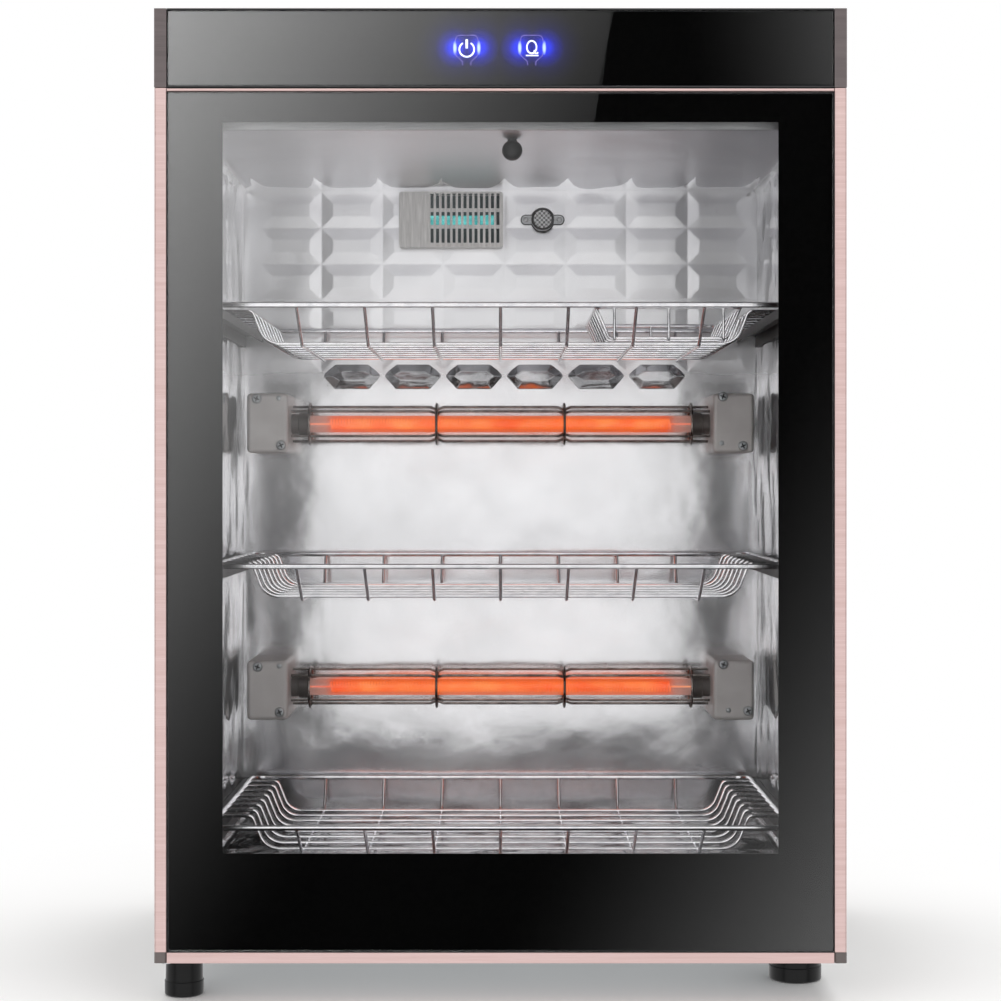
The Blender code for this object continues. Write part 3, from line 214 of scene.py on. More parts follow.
# How much a thin glass wall mirrors: 4% seen straight on and all of it at a grazing slant,
# the same from both of its sides
def glassShine(tree):
    slant = add(tree, "LayerWeight", {"Blend": 0.5}).outputs["Facing"]
    power = add(tree, "Math", {0: slant, 1: 5}, operation="POWER")
    return add(tree, "Math", {0: power, 1: 0.96, 2: 0.04}, operation="MULTIPLY_ADD")


# Tempered float glass: clear, a mirror only at a slant, with the faint roller wave of the oven
def floatGlass(name, tint):
    made, tree, place = startMaterial(name)
    roller = add(tree, "TexNoise", {"Vector": place, "Scale": 6, "Detail": 1})
    normal = add(tree, "Bump", {"Height": roller, "Distance": 0.02 * mm})
    through = add(tree, "BsdfTransparent", {"Color": linear(tint)})
    shine = add(tree, "BsdfGlossy", {"Color": (1, 1, 1, 1), "Roughness": 0.0, "Normal": normal})
    endMaterial(tree, add(tree, "MixShader", {0: glassShine(tree), 1: through, 2: shine}))
    return made


# Black ceramic ink, screen printed on the back of a pane and fired: a dead, even black, which
# only shows a glow where lamps stand behind it
def endInk(tree, place, glow=None):
    pinholes = add(tree, "TexNoise", {"Vector": place, "Scale": 300, "Detail": 3})
    stops = [(0.3, "#020202"), (0.7, "#060606")]
    fixed = {"IOR": 1.06}
    if glow:
        fixed.update({"Emission Color": glow, "Emission Strength": 1.0})
    endOpaque(tree, pinholes, stops, pinholes, (0.45, 0.6), fixed=fixed)


def firedInk(name):
    made, tree, place = startMaterial(name)
    endInk(tree, place)
    return made


levelGrain = (60, 60, 900)
finishes = {
    "painted_steel": powderCoat("blackPowderCoat"),
    "satin_steel": groundStainless("beltGroundStainless", "#CFD0D1", "#B0B2B4", levelGrain, 0.36, 0.48),
    "mirror_steel": polishedStainless("polishedStainlessSteel", "#CDCDCF", "#8C8C8E", 0.05, 0.13, 8, 1.1),
    "zinc_steel": zincCoat("zincCoatedSteel"),
    "grey_steel": bakedEnamel("warmGreyEnamel"),
    "chrome_wire": chromePlate("chromePlatedWire", "#FCFCFE", "#E4E5E9", 0.1, 0.22),
    "dark_wire": chromePlate("heatDarkenedWire", "#A39C97", "#5E5753", 0.16, 0.32),
    "black_gloss": moulded("satinBlackNylon", "#09090A", "#050506", 0.25, 0.35, 1.2, 0.02, 1.3),
    "black_plastic": moulded("grainedBlackPlastic", "#1E1E1F", "#141415", 0.42, 0.56, 0.5, 0.05, 1.53),
    "black_glass": firedInk("firedBlackInk"),
    "smoked_glass": floatGlass("temperedFloatGlass", "#FEFEFE"),
    "clear_glass": floatGlass("clearFloatGlass", "#FEFEFE"),
    "rose_gold": anodisedAluminium("roseGoldAluminium", "#D1B8B5", "#C5A9A5", (40, 40, 2600), 0.3),
    "warm_grey": anodisedAluminium("warmGreyAluminium", "#6D6565", "#625B5B", (60, 60, 2600), 0.34),
    "dark_brown": moulded("darkBrownPlastic", "#625957", "#544C4A", 0.34, 0.46, 0.5, 0.04, 1.53),
    "grey_rubber": moulded("greySiliconeRubber", "#5C5C5E", "#4E4E50", 0.5, 0.66, 2, 0.05, 1.42),
    "glass_wool": glassWool("glassWool"),
    "green_board": circuitBoard("solderMaskedBoard"),
    "dark_ceramic": moulded("darkSteatiteCeramic", "#6A625E", "#4A4441", 0.4, 0.58, 1.4, 0.06, 1.6),
}


# Heated quartz tube: fire-polished and faintly milky, so that the coil's glow fills it, orange
# over the wound length and paler towards the ends
def heatedQuartz():
    made, tree, place = startMaterial("heatedQuartz")
    parts = add(tree, "SeparateXYZ", {"Vector": place})
    across = add(tree, "Math", {0: parts}, operation="ABSOLUTE")
    reach = {"Value": across, "From Min": 0.100, "From Max": 0.146}
    end = add(tree, "MapRange", reach)
    stops = [(0.0, "#FF7438"), (0.55, "#F9683A"), (0.68, "#C9897B"), (1.0, "#A78B84")]
    glow = add(tree, "ValToRGB", {"Fac": end}, stops)
    milk = add(tree, "TexNoise", {"Vector": place, "Scale": 60, "Detail": 2})
    level = add(tree, "MapRange", {"Value": milk, "To Min": 0.8, "To Max": 1.1})
    glowing = add(tree, "Emission", {"Color": glow, "Strength": level})
    clear = add(tree, "BsdfTransparent", {"Color": linear("#FFE9E0")})
    filled = add(tree, "MixShader", {0: 0.52, 1: clear, 2: glowing})
    shine = add(tree, "BsdfGlossy", {"Color": (1, 1, 1, 1), "Roughness": 0.06})
    endMaterial(tree, add(tree, "MixShader", {0: glassShine(tree), 1: filled, 2: shine}))
    return made


# Resistance wire at about 900 degrees: bright orange, a little cooler between the turns
def glowingCoil():
    made, tree, place = startMaterial("glowingResistanceWire")
    patch = add(tree, "TexNoise", {"Vector": place, "Scale": 45, "Detail": 2})
    colour = add(tree, "ValToRGB", {"Fac": patch}, [(0.35, "#FF5A24"), (0.65, "#FFA25C")])
    level = add(tree, "MapRange", {"Value": patch, "To Min": 1.1, "To Max": 1.9})
    endMaterial(tree, add(tree, "Emission", {"Color": colour, "Strength": level}))
    return made


# Low pressure mercury lamp: clear tube with a blue-green discharge, brighter along its middle
def mercuryGlow():
    made, tree, place = startMaterial("glowingMercuryLamp")
    swirl = add(tree, "TexNoise", {"Vector": place, "Scale": 90, "Detail": 3})
    colour = add(tree, "ValToRGB", {"Fac": swirl}, [(0.3, "#1FA6A6"), (0.7, "#7FF0EC")])
    level = add(tree, "MapRange", {"Value": swirl, "To Min": 0.5, "To Max": 1.3})
    glowing = add(tree, "Emission", {"Color": colour, "Strength": level})
    shine = add(tree, "BsdfGlossy", {"Color": (1, 1, 1, 1), "Roughness": 0.05})
    endMaterial(tree, add(tree, "MixShader", {0: glassShine(tree), 1: glowing, 2: shine}))
    return made


finishes["hot_quartz"] = heatedQuartz()
finishes["lamp_glass"] = mercuryGlow()


# Every CAD node takes its slot's finish; the detailed pieces below replace some of them
slotOf = {}
for node in nodes.values():
    for place in node.material_slots:
        slotName = place.material.name.split(".")[0]
        slotOf[node.name] = slotName
        if slotName in finishes:
            place.material = finishes[slotName]
        else:
            print("no finish for", node.name, slotName)
print("finishes:", len(finishes))


# Modelling

# Turns a bmesh into a piece that rides on a body and takes a slot's finish
def piece(name, bm, body, slotName, finish=None, sharpest=35, replaced=()):
    bmesh.ops.remove_doubles(bm, verts=bm.verts, dist=0.002 * mm)
    bmesh.ops.recalc_face_normals(bm, faces=bm.faces)
    mesh = bpy.data.meshes.new(name)
    bm.to_mesh(mesh)
    bm.free()
    mesh.shade_smooth()
    mesh.set_sharp_from_angle(angle=math.radians(sharpest))
    mesh.materials.append(finish or finishes[slotName])
    made = bpy.data.objects.new(name, mesh)
    scene.collection.objects.link(made)
    weights = made.modifiers.new("flatFacesStayFlat", "WEIGHTED_NORMAL")
    weights.keep_sharp = True
    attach(made, body)
    if replaced:
        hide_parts(*replaced)
    return made


def soften(bm, edges, offset, segments=3):
    bmesh.ops.bevel(
        bm, geom=edges, offset=offset, segments=segments, profile=0.5, affect="EDGES", material=-1
    )


# A block with all its edges rounded, or only those that keep chooses
def block(bm, low, high, rounding=0.0, segments=3, keep=None):
    part = bmesh.new()
    low, high = Vector(low), Vector(high)
    bmesh.ops.create_cube(part, size=1)
    bmesh.ops.scale(part, vec=high - low, verts=part.verts)
    bmesh.ops.translate(part, vec=(low + high) / 2, verts=part.verts)
    if rounding:
        soften(part, [edge for edge in part.edges if keep is None or keep(edge)], rounding, segments)
    merge(bm, part)


def merge(bm, part):
    mesh = bpy.data.meshes.new("part")
    part.to_mesh(mesh)
    part.free()
    bm.from_mesh(mesh)
    bpy.data.meshes.remove(mesh)


# A flat outline pushed along a line
def prism(bm, outline, push):
    face = bm.faces.new([bm.verts.new(point) for point in outline])
    pushed = bmesh.ops.extrude_face_region(bm, geom=[face])["geom"]
    moved = [part for part in pushed if isinstance(part, bmesh.types.BMVert)]
    bmesh.ops.translate(bm, vec=push, verts=moved)


# A profile of (along, radius) spun about an axis through centre
def turned(bm, centre, axis, profile, steps=40):
    centre, axis = Vector(centre), Vector(axis)
    side = axis.orthogonal().normalized()
    points = [bm.verts.new(centre + axis * along + side * radius) for along, radius in profile]
    edges = [bm.edges.new(pair) for pair in zip(points, points[1:])]
    bmesh.ops.spin(
        bm, geom=points + edges, cent=centre, axis=axis, angle=2 * math.pi, steps=steps, use_merge=True
    )


# The corners of a line, or of a loop where every corner has a bend, turned into arcs
def filleted(points, bends, steps=6):
    points = [Vector(point).to_3d() for point in points]
    path = []
    for place, (corner, bend) in enumerate(zip(points, bends)):
        if not bend:
            path.append(corner)
            continue
        back = (points[place - 1] - corner).normalized()
        ahead = (points[(place + 1) % len(points)] - corner).normalized()
        half = back.angle(ahead) / 2
        centre = corner + (back + ahead).normalized() * bend / math.sin(half)
        start = corner + back * bend / math.tan(half) - centre
        end = corner + ahead * bend / math.tan(half) - centre
        start, end = start.normalized(), end.normalized()
        path += [centre + start.slerp(end, step / steps) * bend for step in range(steps + 1)]
    return path


# A profile of (along, radius) with its corners rounded, for turning
def roundedProfile(points, bends, steps=3):
    return [(point.x, point.y) for point in filleted(points, bends, steps)]


# A rounded rectangle in the plane across one axis, at a level on that axis
def rectangle(axis, low, high, level, corner=0.0, steps=6):
    corners = [(low[0], low[1]), (high[0], low[1]), (high[0], high[1]), (low[0], high[1])]
    if corner:
        corners = [(point.x, point.y) for point in filleted(corners, [corner] * 4, steps)]
    placed = {
        "x": lambda first, second: Vector((level, first, second)),
        "y": lambda first, second: Vector((first, level, second)),
        "z": lambda first, second: Vector((first, second, level)),
    }[axis]
    return [placed(*corner) for corner in corners]


# Round wires along paths, each (points, radius, closed), made as curves and then a mesh
def wires(bm, paths, roundness=2):
    curve = bpy.data.curves.new("wires", "CURVE")
    curve.dimensions = "3D"
    curve.bevel_depth = 1
    curve.bevel_resolution = roundness
    curve.use_fill_caps = True
    for points, radius, closed in paths:
        spline = curve.splines.new("POLY")
        spline.points.add(len(points) - 1)
        for point, spot in zip(spline.points, points):
            point.co = (*spot, 1)
            point.radius = radius
        spline.use_cyclic_u = closed
    carrier = bpy.data.objects.new("wires", curve)
    scene.collection.objects.link(carrier)
    bpy.context.view_layer.update()
    mesh = bpy.data.meshes.new_from_object(carrier.evaluated_get(bpy.context.evaluated_depsgraph_get()))
    bm.from_mesh(mesh)
    bpy.data.objects.remove(carrier)
    bpy.data.curves.remove(curve)
    bpy.data.meshes.remove(mesh)


# A skin over closed loops, one after the other
def loft(bm, loops, caps=False):
    rings = []
    for loop in loops:
        points = [bm.verts.new(point) for point in loop]
        rings.append([bm.edges.new(pair) for pair in zip(points, points[1:] + points[:1])])
    for first, second in zip(rings, rings[1:]):
        bmesh.ops.bridge_loops(bm, edges=first + second)
    if caps:
        bmesh.ops.holes_fill(bm, edges=rings[0] + rings[-1], sides=0)


# Door: panes, black border, trim

door = {
    "half": 207.1 * mm,
    "low": 35.1 * mm,
    "high": 569.2 * mm,
    "front": -170 * mm,
    "back": -166 * mm,
    "polish": 0.6 * mm,
    "border": 0.12 * mm,
    "borderGap": 0.05 * mm,
    "windowHalf": 173 * mm,
    "windowLow": 95.6 * mm,
    "windowHigh": 551 * mm,
    "frameEase": 2.7 * mm,
    "trimSide": 215 * mm,
    "trimRear": -145.5 * mm,
    "trimWall": 1.4 * mm,
    "trimGap": 0.3 * mm,
    "trimHook": 3 * mm,
    "trimTop": 571.5 * mm,
    "railBack": -145.5 * mm,
    "railHeight": 2 * mm,
}


def makePane():
    bm = bmesh.new()
    low = (-door["half"], door["front"], door["low"])
    high = (door["half"], door["back"], door["high"])
    block(bm, low, high, door["polish"], 2)
    piece("doorPane", bm, "door", "smoked_glass", replaced=["door_glass"])
    bm = bmesh.new()
    seat = door["back"] + door["borderGap"]
    inset = door["polish"]
    outer = ((-door["half"] + inset, door["low"] + inset), (door["half"] - inset, door["high"] - inset))
    inner = ((-door["windowHalf"], door["windowLow"]), (door["windowHalf"], door["windowHigh"]))
    rear = seat + door["border"]
    loops = [rectangle("y", *outer, seat), rectangle("y", *inner, seat)]
    loops += [rectangle("y", *inner, rear), rectangle("y", *outer, rear), rectangle("y", *outer, seat)]
    loft(bm, loops)
    piece("doorPrintedBorder", bm, "door", "black_glass")


def makeStiles():
    side, inner = door["trimSide"], door["half"] + door["trimGap"]
    wall, rear, hook = door["trimWall"], door["trimRear"], door["trimHook"]
    points = [
        (inner, door["front"], 0),
        (side, door["front"], 0),
        (side, rear, 0),
        (side - hook, rear, 0),
        (side - hook, rear - wall, 0),
        (side - wall, rear - wall, 0),
        (side - wall, door["front"] + wall, 0),
        (inner, door["front"] + wall, 0),
    ]
    bends = [0.7 * mm, 1.3 * mm, 1.2 * mm, 0.3 * mm, 0.3 * mm, 0.25 * mm, 0.25 * mm, 0.3 * mm]
    section = filleted(points, bends, 4)
    for way, word in ((-1, "left"), (1, "right")):
        bm = bmesh.new()
        outline = [(way * point.x, point.y, door["low"]) for point in section]
        prism(bm, outline, (0, 0, door["trimTop"] - door["low"]))
        piece(f"doorTrim_{word}", bm, "door", "rose_gold", replaced=[f"door_stile_{word}"])


# The thin rail over the pane, with a rounded nose that catches the light
def makeTopRail():
    top, low = door["trimTop"], door["trimTop"] - door["railHeight"]
    front, back, half = door["front"], door["railBack"], door["half"]
    corners = [(front, low, 0), (back, low, 0), (back, top, 0), (front, top, 0)]
    section = filleted(corners, [0.9 * mm, 0.3 * mm, 0.3 * mm, 0.9 * mm], 6)
    bm = bmesh.new()
    prism(bm, [(-half, point.x, point.y) for point in section], (2 * half, 0, 0))
    piece("doorTopRail", bm, "door", "rose_gold", replaced=["door_rail_top"])


# The moulded frame behind the pane, its window opened so that the printed border hides the edge
def makeFrame():
    frameMesh = bmesh.new()
    frameMesh.from_mesh(nodes["door_frame"].data)
    bmesh.ops.remove_doubles(frameMesh, verts=frameMesh.verts, dist=0.005 * mm)
    near, ease = 0.1 * mm, door["frameEase"]
    for corner in frameMesh.verts:
        if abs(abs(corner.co.x) - door["windowHalf"]) < near:
            corner.co.x += math.copysign(ease, corner.co.x)
        if abs(corner.co.z - door["windowLow"]) < near:
            corner.co.z -= ease
        if abs(corner.co.z - door["windowHigh"]) < near:
            corner.co.z += ease
    piece("doorFrameMoulded", frameMesh, "door", slotOf["door_frame"], replaced=["door_frame"])


makePane()
makeStiles()
makeTopRail()
makeFrame()
print("door done")


# Control panel: a clear pane over an inked sheet, with lit symbols and four indicator lamps

panel = {
    "half": 207.1 * mm,
    "low": 573.1 * mm,
    "high": 619.9 * mm,
    "front": -170 * mm,
    "paneBack": -166.45 * mm,
    "inkFront": -166.3 * mm,
    "inkBack": -166 * mm,
    "inkInset": 0.3 * mm,
    "symbolHeight": 597.2 * mm,
    "symbolDepth": 0.08 * mm,
    "stroke": 1.0 * mm,
    "thinStroke": 0.8 * mm,
    "faintStroke": 0.4 * mm,
    "powerPlace": -21.0 * mm,
    "ringRadius": 4.6 * mm,
    "barHigh": 6.2 * mm,
    "barLow": 0.6 * mm,
    "ovalPlace": 19.4 * mm,
    "ovalRadius": 3.0 * mm,
    "curlPlace": (2.9 * mm, -2.6 * mm),
    "curlRadius": 1.3 * mm,
    "underline": (-3.6 * mm, 4.2 * mm, -5.2 * mm),
    "lampPlaces": (-28.4 * mm, -13.5 * mm, 12.0 * mm, 27.2 * mm),
    "glowRadius": 30 * mm,
    "outlines": (
        (((0, 7.8), (7, 7.8), (7, 4)), (0, 3 * mm, 0)),
        (((7, -3.5), (6.6, -5), (2.6, -8.5), (2.6, -11)), (0, 1 * mm, 1.5 * mm, 0)),
    ),
}


# The ink sheet has four small windows with blue lamps behind them, whose light spreads in the
# glass: a white core about 2 by 6 mm and a blue halo
def litInk():
    made, tree, place = startMaterial("firedInkWithIndicatorLamps")
    parts = add(tree, "SeparateXYZ", {"Vector": place})
    nearest = None
    for spot in panel["lampPlaces"]:
        offset = add(tree, "Math", {0: parts.outputs["X"], 1: spot}, operation="SUBTRACT")
        offset = add(tree, "Math", {0: offset}, operation="ABSOLUTE")
        if nearest:
            offset = add(tree, "Math", {0: nearest, 1: offset}, operation="MINIMUM")
        nearest = offset
    rise = add(tree, "Math", {0: parts.outputs["Z"], 1: panel["symbolHeight"]}, operation="SUBTRACT")
    flat = add(tree, "CombineXYZ", {"X": nearest, "Z": rise})
    halo = add(tree, "VectorMath", {0: flat}, operation="LENGTH").outputs["Value"]
    reach = {"Value": halo, "From Max": panel["glowRadius"], "To Min": 1, "To Max": 0}
    falling = add(tree, "Math", {0: add(tree, "MapRange", reach), 1: 3}, operation="POWER")
    slim = add(tree, "Mapping", {"Vector": flat, "Scale": (2.5, 1, 0.75)})
    core = add(tree, "VectorMath", {0: slim}, operation="LENGTH").outputs["Value"]
    reach = {"Value": core, "From Max": 4.4 * mm, "To Min": 1, "To Max": 0}
    bright = add(tree, "Math", {0: add(tree, "MapRange", reach), 1: 1.5}, operation="POWER")
    stops = [(0.0, "#000000"), (0.19, "#050741"), (0.44, "#0B129A"), (0.68, "#1830FF")]
    blue = add(tree, "ValToRGB", {"Fac": falling}, stops)
    white = add(tree, "ValToRGB", {"Fac": bright}, [(0.08, "#000000"), (0.55, "#DCF6FF")])
    glow = add(tree, "Mix", {0: 1.0, 6: blue.outputs[0], 7: white.outputs[0]}, data_type="RGBA")
    glow.blend_type = "ADD"
    endInk(tree, place, glow.outputs[2])
    return made


# Symbols and faint outlines left clear in the ink and lit from behind
def litClearing(name, colour, shade, scale, strength):
    made, tree, place = startMaterial(name)
    uneven = add(tree, "TexNoise", {"Vector": place, "Scale": scale, "Detail": 2})
    colour = add(tree, "ValToRGB", {"Fac": uneven}, [(0.3, shade), (0.7, colour)])
    inputs = {"Base Color": colour, "Emission Color": colour, "Emission Strength": strength}
    endMaterial(tree, add(tree, "BsdfPrincipled", inputs))
    return made


# Part of a flat ring in the panel's plane, from one angle to another, stretched upwards
def arc(centre, radius, start, end, tall=1.0, steps=28):
    points = []
    for step in range(steps + 1):
        angle = math.radians(start + (end - start) * step / steps)
        points.append((centre[0] + radius * math.cos(angle), centre[1] + radius * math.sin(angle) * tall))
    return points


# A flat stroke of even width along points in the panel's plane
def stroke(bm, points, width, face, depth):
    sides = ([], [])
    for place, point in enumerate(points):
        before = Vector(points[max(place - 1, 0)])
        after = Vector(points[min(place + 1, len(points) - 1)])
        along = (after - before).normalized()
        across = Vector((-along.y, along.x)) * width / 2
        sides[0].append(Vector(point) + across)
        sides[1].append(Vector(point) - across)
    outline = sides[0] + sides[1][::-1]
    prism(bm, [(point.x, face, point.y) for point in outline], (0, depth, 0))


def makePanel():
    bm = bmesh.new()
    low = (-panel["half"], panel["front"], panel["low"])
    high = (panel["half"], panel["paneBack"], panel["high"])
    block(bm, low, high, 0.6 * mm, 2)
    piece("panelPane", bm, "cabinet", "smoked_glass", replaced=["control_glass"])
    bm = bmesh.new()
    inset = panel["inkInset"]
    low = (-panel["half"] + inset, panel["inkFront"], panel["low"] + inset)
    block(bm, low, (panel["half"] - inset, panel["inkBack"], panel["high"] - inset), 0.05 * mm, 1)
    piece("panelInk", bm, "cabinet", "black_glass", litInk())

    symbol = litClearing("litWhiteSymbol", "#F4F6FF", "#C9D2FF", 400, 0.85)
    depth, wide, thin = (panel[key] for key in ("symbolDepth", "stroke", "thinStroke"))
    face = panel["inkFront"] - depth
    across, level = panel["powerPlace"], panel["symbolHeight"] - 1.0 * mm
    bm = bmesh.new()
    stroke(bm, arc((across, level), panel["ringRadius"], 122, 418), wide, face, depth)
    bar = [(across, level + panel["barHigh"]), (across, level + panel["barLow"])]
    stroke(bm, bar, wide * 1.5, face, depth)
    piece("powerSymbol", bm, "cabinet", "clear_glass", symbol)

    across, level = panel["ovalPlace"], panel["symbolHeight"] + 0.4 * mm
    bm = bmesh.new()
    stroke(bm, arc((across, level), panel["ovalRadius"], -46, 306, 1.3, 40), 0.9 * mm, face, depth)
    curl = (across + panel["curlPlace"][0], level + panel["curlPlace"][1])
    stroke(bm, arc(curl, panel["curlRadius"], 150, 330, 1.0, 10), thin, face, depth)
    start, end, drop = panel["underline"]
    stroke(bm, [(across + start, level + drop), (across + end, level + drop)], thin, face, depth)
    piece("ovalSymbol", bm, "cabinet", "clear_glass", symbol)

    bm = bmesh.new()
    for middle in (panel["powerPlace"], panel["ovalPlace"]):
        for way in (-1, 1):
            for corners, bends in panel["outlines"]:
                places = [(middle + way * x * mm, panel["symbolHeight"] + z * mm) for x, z in corners]
                line = [(point.x, point.y) for point in filleted(places, bends, 5)]
                stroke(bm, line, panel["faintStroke"], face, depth)
    faint = litClearing("faintlyLitOutline", "#7468B4", "#4A3F8C", 300, 0.8)
    piece("symbolOutlines", bm, "cabinet", "clear_glass", faint)


makePanel()
print("control panel done")


# Cavity: deep-drawn liner and its embossed back wall

cavity = {
    "half": 196 * mm,
    "low": 72 * mm,
    "high": 550 * mm,
    "front": -142.2 * mm,
    "rear": 140 * mm,
    "corner": 6 * mm,
    "sheet": 0.8 * mm,
    "flange": 8 * mm,
    "lead": 2 * mm,
    "leadEase": 0.6 * mm,
    "wall": 140.3 * mm,
    "cellWidth": 46.6 * mm,
    "cellHeight": 27.5 * mm,
    "cellColumns": 8,
    "cellRows": 5,
    "cellShift": 3 * mm,
    "cellTop": 548.5 * mm,
    "cellHip": 12.6 * mm,
    "cellRise": 0.8 * mm,
    "cellCrease": 0.9 * mm,
    "satinFrom": 400 * mm,
    "reflectionReach": 55 * mm,
    "reflectionEdge": 16 * mm,
    "bossHeight": 408 * mm,
    "bossSize": (44 * mm, 20 * mm),
    "bossSteps": ((1, 1, -0.3), (1, 1, 0.1), (0.95, 0.9, 0.4), (0.74, 0.42, 2.3), (0.68, 0.3, 2.5)),
}


# The cavity's top sheet: satin, with a lighter and smoother scalloped band along its rear edge,
# one scallop to each cell of the back wall: a painted reflection of the cells in the ceiling
def satinCeiling():
    made, tree, place = startMaterial("satinStainlessCeiling")
    parts = add(tree, "SeparateXYZ", {"Vector": place})
    width = cavity["cellWidth"]
    shift = {0: parts.outputs["X"], 1: 1 / width, 2: -cavity["cellShift"] / width}
    cells = add(tree, "Math", {0: add(tree, "Math", shift, operation="MULTIPLY_ADD")}, operation="FRACT")
    side = add(tree, "Math", {0: cells, 1: 0.5}, operation="SUBTRACT")
    side = add(tree, "Math", {0: side}, operation="ABSOLUTE")
    point = add(tree, "Math", {0: side, 1: 2}, operation="MULTIPLY")
    point = add(tree, "Math", {0: point, 1: 6}, operation="POWER")
    reach = {0: point, 1: cavity["reflectionReach"], 2: parts.outputs["Y"]}
    reach = add(tree, "Math", reach, operation="MULTIPLY_ADD")
    ragged = add(tree, "TexNoise", {"Vector": place, "Scale": 35, "Detail": 2})
    reach = add(tree, "Math", {0: ragged, 1: 0.03, 2: reach}, operation="MULTIPLY_ADD")
    start = cavity["rear"] - cavity["reflectionEdge"] + 0.015
    paintedCellReflection = add(tree, "MapRange", {"Value": reach, "From Min": start, "From Max": start + 3 * mm})
    slow = add(tree, "TexNoise", {"Vector": place, "Scale": 11, "Detail": 2})
    wave = add(tree, "Bump", {"Height": slow, "Distance": 3 * mm})
    cloud = add(tree, "TexNoise", {"Vector": place, "Scale": 26, "Detail": 3})
    rough = add(tree, "MapRange", {"Value": paintedCellReflection, "To Min": 0.33, "To Max": 0.12})
    inputs = {
        # The lighter colour over the band is painted reflection; the lower roughness there makes it
        # glossier
        "Base Color": add(tree, "ValToRGB", {"Fac": paintedCellReflection}, [(0.0, "#DBDBDF"), (1.0, "#F6F6F8")]),
        "Metallic": 1.0,
        "Roughness": add(tree, "Math", {0: cloud, 1: 0.08, 2: rough}, operation="MULTIPLY_ADD"),
        "Normal": wave,
    }
    endMaterial(tree, add(tree, "BsdfPrincipled", inputs))
    return made


def makeLiner():
    half, low, high = (cavity[key] for key in ("half", "low", "high"))
    front, rear, corner = (cavity[key] for key in ("front", "rear", "corner"))
    flange, lead, ease = (cavity[key] for key in ("flange", "lead", "leadEase"))
    inner, eased, wide, outer = (
        ((-half - more, low - more), (half + more, high + more)) for more in (0, ease, lead, flange)
    )
    loops = [
        rectangle("y", *outer, front, corner + flange),
        rectangle("y", *wide, front, corner + lead),
        rectangle("y", *eased, front + ease, corner + ease),
        rectangle("y", *inner, front + lead, corner),
        rectangle("y", *inner, rear, corner),
        rectangle("y", *outer, rear, corner + flange),
    ]
    bm = bmesh.new()
    loft(bm, loops)
    bmesh.ops.recalc_face_normals(bm, faces=bm.faces)
    bmesh.ops.solidify(bm, geom=bm.faces, thickness=cavity["sheet"] * 0.9)
    made = piece("cavityShell", bm, "cabinet", "mirror_steel", replaced=["cavity_liner"])
    made.data.materials.append(satinCeiling())
    made.data.materials.append(finishes["satin_steel"])
    for face in made.data.polygons:
        if face.normal.z < -0.9 and face.center.z > high - 1 * mm:
            face.material_index = 1
        if face.center.y < front + lead * 0.7:
            face.material_index = 2


def makeBackWall():
    columns, rows = cavity["cellColumns"], cavity["cellRows"]
    bm = bmesh.new()
    bmesh.ops.create_grid(bm, x_segments=columns, y_segments=rows, size=0.5)
    turn = Matrix.Rotation(math.pi / 2, 4, "X")
    bmesh.ops.transform(bm, matrix=turn, verts=bm.verts)
    size = (columns * cavity["cellWidth"], 1, rows * cavity["cellHeight"])
    bmesh.ops.scale(bm, vec=size, verts=bm.verts)
    middle = (cavity["cellShift"], cavity["wall"], cavity["cellTop"] - size[2] / 2)
    bmesh.ops.translate(bm, vec=middle, verts=bm.verts)
    cells = list(bm.faces)
    bmesh.ops.inset_individual(bm, faces=cells, thickness=cavity["cellHip"], depth=0)
    ridges = {corner for cell in cells for corner in cell.verts}
    bmesh.ops.translate(bm, vec=(0, -cavity["cellRise"], 0), verts=list(ridges))
    creases = [edge for edge in bm.edges if not edge.is_boundary]
    soften(bm, creases, cavity["cellCrease"], 2)
    border = [edge for edge in bm.edges if edge.is_boundary]
    reach = cavity["half"] + cavity["flange"]
    low = (-reach, cavity["low"] - cavity["flange"])
    high = (reach, cavity["high"] + cavity["flange"])
    points = [bm.verts.new(point) for point in rectangle("y", low, high, cavity["wall"])]
    outside = [bm.edges.new(pair) for pair in zip(points, points[1:] + points[:1])]
    bmesh.ops.triangle_fill(bm, edges=border + outside, use_beauty=True)
    bmesh.ops.recalc_face_normals(bm, faces=bm.faces)
    if sum(face.normal.y * face.calc_area() for face in bm.faces) > 0:
        bmesh.ops.reverse_faces(bm, faces=bm.faces)
    pushed = bmesh.ops.extrude_face_region(bm, geom=list(bm.faces))["geom"]
    moved = [part for part in pushed if isinstance(part, bmesh.types.BMVert)]
    bmesh.ops.translate(bm, vec=(0, cavity["sheet"], 0), verts=moved)
    finish = polishedStainless(
        "embossedStainlessSteel", "#F8F8FA", "#EAEAEC", 0.16, 0.22, 2.2, 0.35, cavity["satinFrom"]
    )
    piece("embossedBackWall", bm, "cabinet", "mirror_steel", finish, 12, ["liner_back"])


# Six-sided bosses pressed forward in a row under the embossed field: their lower slopes show
# the dark cavity and the heater, their upper slopes the light
def makeBosses():
    width, height = cavity["bossSize"]
    shape = ((-0.5, 0), (-0.3, -0.5), (0.3, -0.5), (0.5, 0), (0.3, 0.5), (-0.3, 0.5))
    bm = bmesh.new()
    for step in range(1, cavity["cellColumns"] - 1):
        x = cavity["cellShift"] + (step - cavity["cellColumns"] / 2 + 0.5) * cavity["cellWidth"]
        loops = []
        for wide, tall, forward in cavity["bossSteps"]:
            y = cavity["wall"] - forward * mm
            across, rise = width * wide, height * tall
            corners = [(x + side * across, y, cavity["bossHeight"] + up * rise) for side, up in shape]
            loops.append(filleted(corners, [2 * mm * tall] * 6, 4))
        loft(bm, loops, caps=True)
    piece("pressedBosses", bm, "cabinet", "mirror_steel", sharpest=50)


makeLiner()
makeBackWall()
makeBosses()
